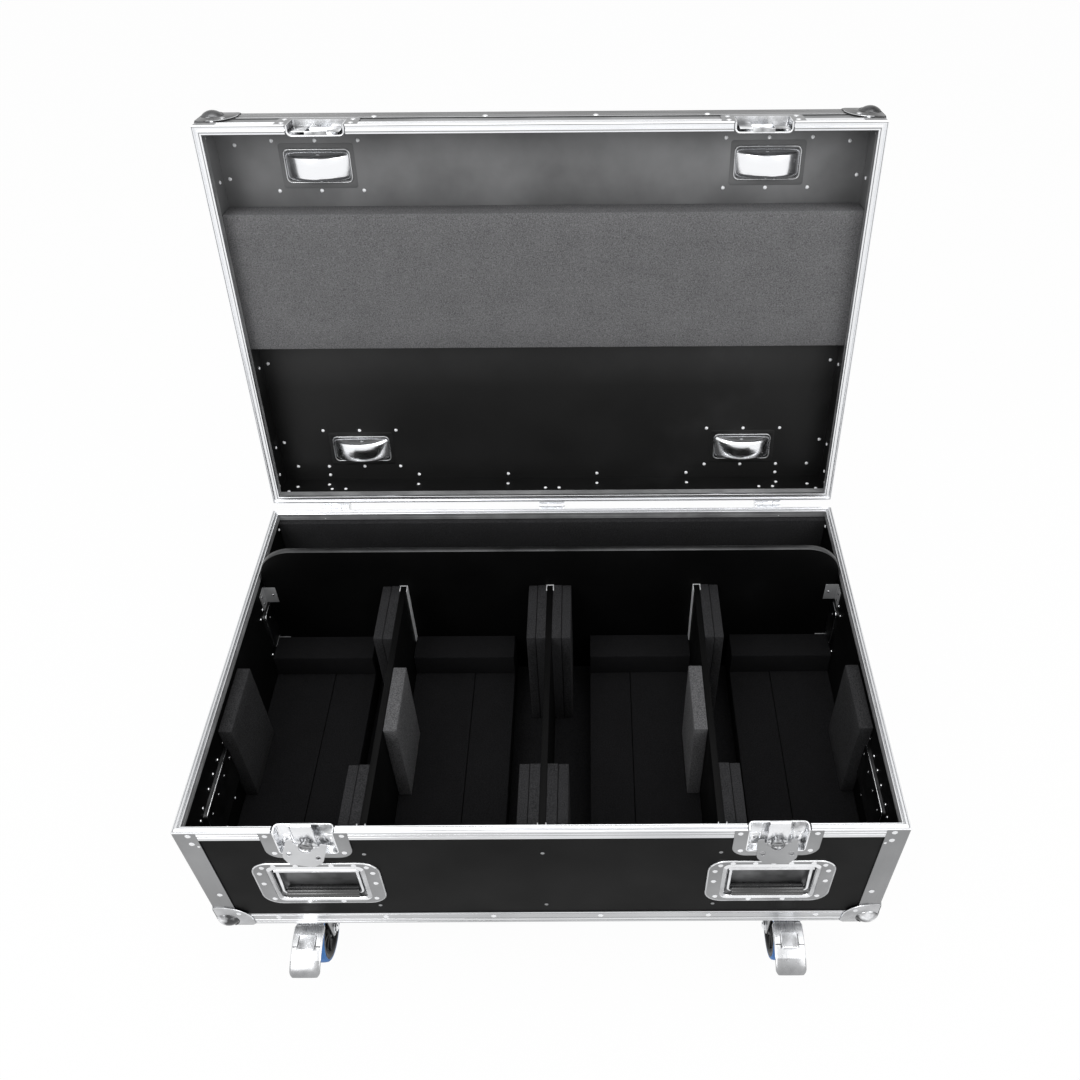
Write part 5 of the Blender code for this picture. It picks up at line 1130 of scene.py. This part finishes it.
# Hinges
def hinge_pieces():
    half = 0.021
    inner = -0.0072
    face = -0.0053
    leaf = softened([(-half, -0.040, 0.003), (half, -0.040, 0.003), (half, -0.0006, 0.0004),
                     (-half, -0.0006, 0.0004)])
    tub_bits = [plate([leaf], -face, -inner, "Y", 0.0003, 2)]
    lean = math.radians(LID_OPEN_DEG)
    along = (math.cos(lean), math.sin(lean))
    start = (-0.0053 * along[0], 0.0053 * along[1] - 0.0003)
    far = (start[0] + 0.016 * along[1], start[1] + 0.016 * along[0])
    ear = softened([(-0.0067, -0.030, 0.002), (far[0], far[1] - 0.007, 0.002), (*far, 0.001),
                    (*start, 0.0005), (-0.0067, -0.0011, 0)])
    knuckle = [(0.0021, 0.021), (0.0040, 0.021), (0.0046, 0.0206), (0.0046, 0.0087), (0.0040, 0.0083),
               (0.0021, 0.0083), (0.0021, 0.021)]
    for side in (-1, 1):
        tub_bits.append(lathe([(r, side * h) for r, h in knuckle], "X", 28))
        x = sorted((side * 0.0088, side * 0.0205))
        tub_bits.append(block((x[0], -0.0067, -0.00345), (x[1], -0.001, -0.0011), 0.0003))
        x = sorted((side * 0.0185, side * 0.0205))
        tub_bits.append(plate([ear], x[0], x[1], "X", 0.0003, 1))
    pin = [(0, 0.0216), (0.0014, 0.0214), (0.0020, 0.0208), (0.0020, -0.0208), (0.0014, -0.0214),
           (0, -0.0216)]
    tub_bits.append(lathe(pin, "X", 20))
    tub_bits += studs([(side * 0.0115, face, z) for side in (-1, 1) for z in (-0.0165, -0.0320)], "back",
                      rivet(0.0032, 0.0010))
    lid_leaf = softened([(-half, 0.0006, 0.0004), (half, 0.0006, 0.0004), (half, 0.0394, 0.003),
                         (-half, 0.0394, 0.003)])
    lid_bits = [plate([lid_leaf], -face, -inner, "Y", 0.0003, 2)]
    middle = [(0.0023, 0.008), (0.0040, 0.008), (0.0046, 0.0076), (0.0046, -0.0076), (0.0040, -0.008),
              (0.0023, -0.008), (0.0023, 0.008)]
    lid_bits.append(lathe(middle, "X", 28))
    lid_bits.append(block((-0.0075, -0.0067, 0.0011), (0.0075, -0.001, 0.00345), 0.0003))
    lid_bits += studs([(side * 0.0115, face, 0.031) for side in (-1, 1)], "back", rivet(0.0032, 0.0010))
    shared = {}
    for label, x in (("left", -HINGE_X), ("centre", 0), ("right", HINGE_X)):
        place = Matrix.Translation((x, HINGE.y, HINGE.z))
        placed(shared, "tub", "hinge_tub_" + label, tub_bits, BRIGHT, place, "tub",
               ["hinge_" + label])
        placed(shared, "lid", "hinge_lid_" + label, lid_bits, BRIGHT, LID @ place, "lid", ["lid_rim"])


# Rear board, channels, brackets and dividers
def channel_bit(x, back, way, top=INSERT_TOP):
    """A U channel on a wall; way is the side that it opens to."""
    outline = [(-0.006, -0.0005), (0.006, -0.0005), (0.006, 0.012), (0.0048, 0.012), (0.0048, METAL),
               (-0.0048, METAL), (-0.0048, 0.012), (-0.006, 0.012)]
    points = [(x + u, back + way * v) for u, v in outline]
    return plate([points], INSERT_LOW, top, "Z", 0.00015, 1)


def board_pieces():
    """The raised rear board with its edging, the channels and the end brackets."""
    half = 0.451
    top = RIM + 0.050
    radius = 0.055
    crown = arc((half - radius, top - radius), radius, 0, 90, 18)
    crown += arc((radius - half, top - radius), radius, 90, 180, 18)
    outline = [(-half, 0.1471), (half, 0.1471)] + crown
    board = [plate([outline], -BOARD_FACE - BOARD_PLY, -BOARD_FACE, "Y", 0.0006, 2)]
    piece("rear_board_panel", board, LAMINATE, "tub", None, ["rear_board"])
    path = [(half, RIM - 0.020)] + crown + [(-half, RIM - 0.020)]
    edge = []
    for grow, y in ((0, BOARD_FACE - 0.0002), (0.0006, BOARD_FACE + 0.0008), (0.0006, BOARD_FACE + 0.0082),
                    (0, BOARD_FACE + 0.0092)):
        edge.append([(u + math.copysign(grow, u), y, v + grow) for u, v in path])
    piece("rear_board_edge", [shell(edge, 0.0004)], EDGING, "tub")
    bits = [channel_bit(x, BOARD_FACE, -1) for x in (-PITCH, 0, PITCH)]
    piece("rear_channels", bits, RAIL, "tub", None, ["rear_board"])
    bits = [channel_bit(x, FRONT + WALL, 1, RIM - 0.0135) for x in (-PITCH, 0, PITCH)]
    piece("front_channels", bits, RAIL, "tub")
    bits = []
    heads = []
    for side in (-1, 1):
        edge_x = side * INNER_X
        angle = [(side * 0.436, BOARD_FACE), (side * 0.436, BOARD_FACE - METAL),
                 (edge_x - side * METAL, BOARD_FACE - METAL),
                 (edge_x - side * METAL, BOARD_FACE - 0.020), (edge_x, BOARD_FACE - 0.020),
                 (edge_x, BOARD_FACE)]
        for high in (RIM - 0.0275, RIM - 0.1465):
            bits.append(plate([angle], high - 0.033, high, "Z", 0.0003, 2))
            facing = "right" if side < 0 else "left"
            heads += studs([(edge_x - side * METAL, BOARD_FACE - 0.0125, high - z) for z in (0.009, 0.024)],
                           facing, rivet(0.0026, 0.0011))
            heads += studs([(side * 0.4425, BOARD_FACE - METAL, high - 0.0165)], "front",
                           rivet(0.0026, 0.0011))
    piece("board_brackets", bits, LIP, "tub", None, ["rear_board"])
    piece("board_bracket_rivets", heads, BRIGHT, "tub")


def divider_pieces():
    """The dividers: two pads at each end of a double side, one in the middle of a single side."""
    for label, x in DIVIDERS:
        low = (x - 0.0045, FRONT + 0.0100, INSERT_LOW)
        bits = [block(low, (x + 0.0045, BOARD_FACE - SKIN, INSERT_TOP), 0.0005)]
        piece("divider_board_" + label, bits, LAMINATE, "tub", None, ["divider_" + label])
    double = {"left": (-1,), "centre": (-1, 1), "right": (1,)}
    single = {"left": 1, "right": -1}
    for label, x in DIVIDERS:
        for side in double[label]:
            word = "left" if side < 0 else "right"
            near, clear, far = (x + side * reach for reach in (0.0046, 0.0063, 0.0189))
            x0, x1 = sorted((x + side * 0.0193, x + side * 0.0335))
            for end, y0, y1 in (("front", 0.0145, 0.117), ("rear", 0.338, 0.4473)):
                if end == "front":
                    plan = [(clear, y0), (far, y0), (far, y1), (near, y1), (near, 0.0208), (clear, 0.0208)]
                else:
                    plan = [(near, y0), (far, y0), (far, y1), (clear, y1), (clear, 0.4353), (near, 0.4353)]
                inner = pad_block([(u, FRONT + v) for u, v in plan], PAD_LOW, INSERT_TOP)
                outer = slab((x0, FRONT + y0 + 0.0004, PAD_LOW), (x1, FRONT + y1, INSERT_TOP - 0.0006),
                             0.0013)
                pad(f"pad_{label}_{word}_{end}", [inner, outer], FOAM_DARK, "divider_" + label)
        if label in single:
            x0, x1 = sorted((x + single[label] * 0.0046, x + single[label] * 0.0245))
            bits = [slab((x0, MIDDLE_PAD[0], PAD_LOW), (x1, MIDDLE_PAD[1], INSERT_TOP), 0.0016)]
            pad("pad_middle_" + label, bits, FOAM_GREY, "divider_" + label)


# Foam lining
def foam_pieces():
    """Floor in two sheets, bay blocks in two slabs each, steps, wall pads, back sheet and the lid's block."""
    back = FRONT + 0.5892
    for name, y0, y1 in (("foam_floor_sheet", FRONT + 0.0088, BOARD_FACE - GAP),
                         ("foam_compartment_sheet", BOARD_FACE + 0.0093, back)):
        sheet = [slab((-INNER_X, y0, SHEET_LOW), (INNER_X, y1, SHEET_TOP), 0.0010, 0.05, 0.0003)]
        pad(name, sheet, FOAM_DEEP, "foam_lining")
    sheet = [slab((-INNER_X, FRONT + 0.5792, ON_SHEET), (INNER_X, back, RIM - 0.0136), 0.0012)]
    pad("foam_back_sheet", sheet, FOAM_DARK, "foam_lining")
    y0, y1 = FRONT + 0.0220, FRONT + 0.4003
    for label, side in SIDES:
        for bay, near, far in (("inner", 0.0618, 0.2262), ("outer", 0.2928, INNER_X)):
            joint = near + 0.066
            start = joint + 0.0007
            x0, x1 = sorted((side * near, side * joint))
            bits = [slab((x0, y0, ON_SHEET), (x1, y1, 0.1908), 0.0014, 0.04, 0.0005)]
            plan = [(start, y0), (far, y0), (far, y1), (start, y1)]
            if bay == "inner":
                notch = 0.2062
                plan[2:2] = [(far, FRONT + 0.1707), (notch, FRONT + 0.1707), (notch, FRONT + 0.2843),
                             (far, FRONT + 0.2843)]
            bits.append(pad_block([(side * u, v) for u, v in plan], ON_SHEET, 0.1910))
            pad(f"foam_block_{bay}_{label}", bits, FOAM_DEEP, "foam_lining")
            x0, x1 = sorted((side * near, side * far))
            bits = [slab((x0, FRONT + 0.4006, ON_SHEET), (x1, BOARD_FACE - GAP, 0.2310), 0.0014, 0.04,
                         0.0005)]
            pad(f"foam_step_{bay}_{label}", bits, FOAM_DEEP, "foam_lining")
        x0, x1 = sorted((side * (INNER_X - 0.020), side * INNER_X))
        bits = [slab((x0, MIDDLE_PAD[0], 0.1911), (x1, MIDDLE_PAD[1], INSERT_TOP), 0.0016)]
        pad("foam_wall_pad_" + label, bits, FOAM_WALL, "foam_lining")
    bits = [slab((-INNER_X, FRONT + 0.125, 0.3990), (INNER_X, FRONT + 0.331, 0.4392), 0.0016, 0.03, 0.0007)]
    pad("lid_foam_block", bits, FOAM_LID, "lid_foam", "lid", LID)


# Castor dishes in the lid
def castor_dish_pieces():
    half = 0.050
    width = 0.0198
    sink = 0.028
    radius = (half * half + sink * sink) / (2 * sink)
    opening = rounded(2 * half, 2 * width, 0.002, 3)
    dish_bits = [plate([rounded(0.142, 0.077, 0.012, 6), opening], -METAL, 0, "Z", 0.0003, 2)]
    fillet = 0.0075
    across = [0, 0.0001, 0.0004, 0.0009, 0.0017, 0.0028, 0.0042, 0.0058, fillet, 0.018, width]
    stations = [-width + e for e in across] + [width - e for e in across[-2::-1]]
    count = 28
    rows = []
    for v in stations:
        inset = width - abs(v)
        lift = 1.0 if inset >= fillet else math.sqrt(max(0.0, 1 - (1 - inset / fillet) ** 2))
        row = []
        for i in range(count + 1):
            swing = math.asin(half / radius) * (2 * i / count - 1)
            u = radius * math.sin(swing)
            deep = radius * math.cos(swing) - (radius - sink)
            row.append((u, v, -deep * lift))
        rows.append(row)
    dish_bits.append(shell(rows, METAL))
    dish_bits += studs([(u, v, 0) for u, v in DISH_RIVETS], "up", rivet(0.0034, 0.0010))
    deep = -0.0088
    seal_bits = [plate([rounded(0.1060, 0.0620, 0.004, 4), rounded(0.0868, 0.0395, 0.003, 4)], deep,
                       deep + METAL, "Z", 0.0002, 1)]
    ring_bits = [tube([(u, v, deep - 0.0004) for u, v in rounded(0.0930, 0.0455, 0.007, 4)], 0.0010, 3, True)]
    shared = {}
    for end, y in (("front", FRONT + DISH_INSET), ("rear", BACK - DISH_INSET)):
        for label, side in SIDES:
            spot = LID @ Matrix.Translation((side * DISH_X, y, TOP))
            for kind, bits, finish, slot, stands in (
                ("trough", dish_bits, BOWL, "zinc", [f"castor_dish_{end}_{label}"]),
                ("seal_" + end, seal_bits, SEALS[end], "laminate", ()),
                ("ring", ring_bits, SATIN, "zinc", ()),
            ):
                name = f"castor_dish_{kind}_piece_{end}_{label}"
                placed(shared, kind, name, bits, finish, spot, "lid", stands)


# Castors
def pedal_grid():
    """A pressed pedal: rows across, from its root to its toe, curving down."""
    line = [(0, 0), (-0.0219, -0.0012), (-0.04015, -0.00528), (-0.05475, -0.0108), (-0.0657, -0.0168),
            (-0.073, -0.024)]
    dense = []
    for i in range(len(line) - 1):
        a = Vector(line[max(i - 1, 0)])
        b, c = Vector(line[i]), Vector(line[i + 1])
        d = Vector(line[min(i + 2, len(line) - 1)])
        for k in range(4):
            t = k / 4
            dense.append(0.5 * (2 * b + (c - a) * t + (2 * a - 5 * b + 4 * c - d) * t * t
                                + (3 * b - a - 3 * c + d) * t ** 3))
    dense.append(Vector(line[-1]))
    rows = []
    for i, point in enumerate(dense):
        along = (dense[min(i + 1, len(dense) - 1)] - dense[max(i - 1, 0)]).normalized()
        up = Vector((along.y, -along.x))
        reach = -point.x
        wide = 0.0185 if reach < 0.006 else 0.0185 + 0.0032 * min(1, (reach - 0.006) / 0.0035)
        if reach > 0.068:
            wide -= 0.0035 * ((reach - 0.068) / 0.005) ** 2
        row = []
        for lift, shares in ((0.00125, (-1, -0.96, -0.9, -0.5, 0, 0.5, 0.9, 0.96, 1)),
                             (-0.00125, (1, 0.9, 0.5, 0, -0.5, -0.9, -1))):
            for share in shares:
                drop = 0.0006 if lift > 0 and abs(share) == 1 else 0
                crown = -0.0010 * max(0, abs(share) - 0.85) / 0.15
                spot = point + up * (lift - drop + crown)
                row.append((share * wide, spot.x, spot.y))
        rows.append(row)
    return rows


def castor_pieces():
    under = -0.0033
    plate_bits = [plate([rounded(0.085, 0.105, 0.008, 5)], under, -0.0003, "Z", 0.0004, 2)]
    race = [(0.0, under + 0.0005), (0.0245, under + 0.0005), (0.0256, under - 0.0006),
            (0.0260, under - 0.0016), (0.0252, -0.0062), (0.0246, -0.0066), (0.0252, -0.0070),
            (0.0260, -0.0080), (0.0258, -0.0096), (0.0246, -0.0100), (0.0, -0.0100)]
    plate_bits.append(lathe(race, "Z", 40))
    bolts = [(side_x * 0.0335, side_y * 0.0420) for side_x in (-1, 1) for side_y in (-1, 1)]
    for x, y in bolts:
        head = [(0, -0.0048), (0.0058, -0.0048), (0.0064, -0.0042), (0.0064, 0.0), (0, 0.0)]
        plate_bits.append(moved(lathe(head, "Z", 6), Matrix.Translation((x, y, under))))
        plate_bits.append(moved(lathe([(0, -0.0012), (0.0078, -0.0012), (0.0082, -0.0008), (0.0082, 0.0002),
                                       (0, 0.0002)],
                                      "Z", 24), Matrix.Translation((x, y, under))))
    top = -0.0103
    low = -0.0200
    eye = (-0.035, -0.078)
    pedal_axis = Matrix.Translation((0, -0.051, -0.023))
    crown = [(0, top), (0.0235, top), (0.0262, top - 0.0006), (0.0276, top - 0.0022), (0.0280, top - 0.0045),
             (0.0280, low + 0.0012), (0.0274, low + 0.0002), (0.0262, low), (0.0244, low + 0.0010),
             (0, low + 0.0016)]
    rows = pedal_grid()
    split = 12
    wheel_core = [(0.0043, 0.0192), (0.0095, 0.0192), (0.0100, 0.0188), (0.0100, 0.0178), (0.0140, 0.0176),
                  (0.0146, 0.0170), (0.0150, 0.0126), (0.0165, 0.0118), (0.0290, 0.0112), (0.0355, 0.0122),
                  (0.0375, 0.0138), (0.0390, 0.0168), (0.0405, 0.0177), (0.0440, 0.0179), (0.0458, 0.0174),
                  (0.0470, 0.0162), (0.0474, 0.0150), (0.0460, 0.0140)]
    wheel_bits = [lathe(wheel_core + [(r, -h) for r, h in wheel_core[::-1]] + [wheel_core[0]], "X", 72)]
    for i in range(10):
        spoke = block((-0.0150, -0.0016, 0.0140), (0.0150, 0.0016, 0.0385), 0.0008)
        wheel_bits.append(moved(spoke, Matrix.Rotation(math.radians(36 * i), 4, "X")))
    tread = [(0.0440, 0.0170), (0.0455, 0.0178), (0.0478, 0.0174), (0.0491, 0.0160), (0.0498, 0.0120),
             (0.0500, 0.0050)]
    tread_bits = [lathe(tread + [(r, -h) for r, h in tread[::-1]] + [tread[0]], "X", 96)]
    washer = [(0, 0.0235), (0.0079, 0.0235), (0.0085, 0.0231), (0.0085, 0.0224), (0, 0.0224)]
    hexagon = [(0, 0.0262), (0.0066, 0.0262), (0.0073, 0.0257), (0.0073, 0.0234), (0, 0.0234)]
    dome = [(0, 0.0283), (0.0018, 0.0282), (0.0034, 0.0278), (0.0046, 0.0269), (0.0050, 0.0261), (0, 0.0258)]
    axle = [(0, 0.0230), (0.0040, 0.0230), (0.0040, -0.0230), (0, -0.0230)]
    forks = {}
    for end in ("front", "rear"):
        toe = 0.055 if end == "front" else 0.0395
        outline = [(0.022, top - 0.0005, 0.001), (-toe, top - 0.00485, 0.004), (-toe, -0.024, 0.004)]
        leg = softened(outline) + arc(eye, 0.013, 185, 345, 14)
        leg += softened([(eye[0], eye[1], 0), (0.022, -0.020, 0.004), (0.022, top, 0)])[1:-1]
        bits = [lathe(crown, "Z", 40)]
        nuts = [moved(lathe(axle, "X", 20), Matrix.Translation((0, *eye)))]
        for side in (-1, 1):
            x = sorted((side * 0.0195, side * 0.0225))
            bits.append(plate([leg], x[0], x[1], "X", 0.0006, 2))
            for profile, steps in ((washer, 28), (hexagon, 6), (dome, 20)):
                nuts.append(moved(lathe([(r, side * h) for r, h in profile], "X", steps),
                                  Matrix.Translation((0, *eye))))
        if end == "front":
            pin = [(0, 0.0242), (0.0026, 0.0240), (0.0032, 0.0234), (0.0032, 0.0224), (0.0020, 0.0224),
                   (0.0020, -0.0224), (0.0032, -0.0224), (0.0032, -0.0234), (0.0026, -0.0240), (0, -0.0242)]
            nuts.append(moved(lathe(pin, "X", 20), pedal_axis))
            cover = [(-0.0275, -0.0122), (-0.0300, -0.0108), (-0.0400, -0.0120), (-0.0500, -0.0138),
                     (-0.0545, -0.0152), (-0.0560, -0.0180), (-0.0560, -0.0195)]
            sheet = [[(x, y, z) for x in (-0.0212, -0.0206, -0.012, 0, 0.012, 0.0206, 0.0212)]
                     for y, z in cover]
            cover_bits = [shell(sheet, 0.0010)]
        forks[end] = (bits, nuts)
    # The toe rows get the darker finish: painted shade.
    pedal_bits = [loft(rows[:split + 1], True, True)]
    toe_bits = [loft(rows[split:], True, True)]
    barrel = [(0.0022, 0.0188), (0.0036, 0.0188), (0.0040, 0.0184), (0.0040, -0.0184), (0.0036, -0.0188),
              (0.0022, -0.0188), (0.0022, 0.0188)]
    pedal_bits.append(lathe(barrel, "X", 24))
    tilt = Matrix.Translation((0, -0.033, -0.0008)) @ Matrix.Rotation(math.radians(6), 4, "X")
    pad_bits = [moved(plate([rounded(0.0215, 0.0235, 0.0022, 5)], -0.0035, 0.0028, "Z", 0.0009, 3), tilt)]
    # Dark lines on the pedal: painted shade.
    shade_lines = []
    for side in (-1, 1):
        for x0, x1, y0, y1 in ((0.0120, 0.0128, -0.0235, -0.0440), (0.0130, 0.0200, -0.0372, -0.0384)):
            low_x, high_x = sorted((side * x0, side * x1))
            slope = 0.00125 - 0.0012 + (max(y0, y1) + 0.0219) * 0.21
            shade_lines.append(block((low_x, min(y0, y1), slope - 0.0012), (high_x, max(y0, y1), slope + 0.00035),
                               0.0001, 1))
    shared = {}
    for end, y in (("front", FRONT + CASTOR_INSET), ("rear", BACK - CASTOR_INSET)):
        for label, side in SIDES:
            tail = f"{end}_{label}"
            place = Matrix.Translation((side * CASTOR_X, y, BASE))
            hub = place @ Matrix.Translation((0, *eye))
            pivot = place @ pedal_axis
            fork, wheel, pedal = (f"castor_{word}_{tail}" for word in ("fork", "wheel", "pedal"))
            jobs = [
                ("plate", plate_bits, ZINC, place, "tub", "zinc", ["castor_plate_" + tail]),
                ("fork_" + end, forks[end][0], FORK, place, fork, "zinc", [fork]),
                ("nuts_" + end, forks[end][1], CHROME, place, fork, "zinc", ()),
                ("core", wheel_bits, CORE, hub, wheel, "rubber", [wheel]),
                ("tread", tread_bits, TREAD, hub, wheel, "rubber", [wheel]),
            ]
            if end == "front":
                jobs += [
                    ("cover", cover_bits, PEDAL, place, fork, "zinc", ()),
                    ("pedal_toe", toe_bits, TOE, pivot, pedal, "zinc", ()),
                    ("pedal", pedal_bits, PEDAL, pivot, pedal, "zinc", [pedal]),
                    ("pedal_pad", pad_bits, BRIGHT, pivot, pedal, "zinc", ()),
                    ("pedal_marks", shade_lines, LINE, pivot, pedal, "zinc", ()),
                ]
            for kind, bits, finish, spot, body, slot, stands in jobs:
                placed(shared, kind, f"castor_{kind}_piece_{tail}", bits, finish, spot, body, stands)


set_camera()
set_stage()
rims()
angle_set("tub", BASE, RIM - METAL - GAP, "tub")
angle_set("lid", TOP, RIM + 0.0056, "lid", LID)
ball_corner("tub", BASE, 1, "tub")
ball_corner("lid", TOP, -1, "lid", LID)
handle_pieces()
rivet_rows()
latch_pieces()
hinge_pieces()
board_pieces()
divider_pieces()
foam_pieces()
castor_dish_pieces()
castor_pieces()
for node in ("tub_bottom_and_back", "tub_front_panel", "tub_left_panel", "tub_right_panel"):
    repaint(node, LAMINATE)
repaint("lid_shell", LID_SKIN)

bpy.context.scene.view_settings.view_transform = "Standard"
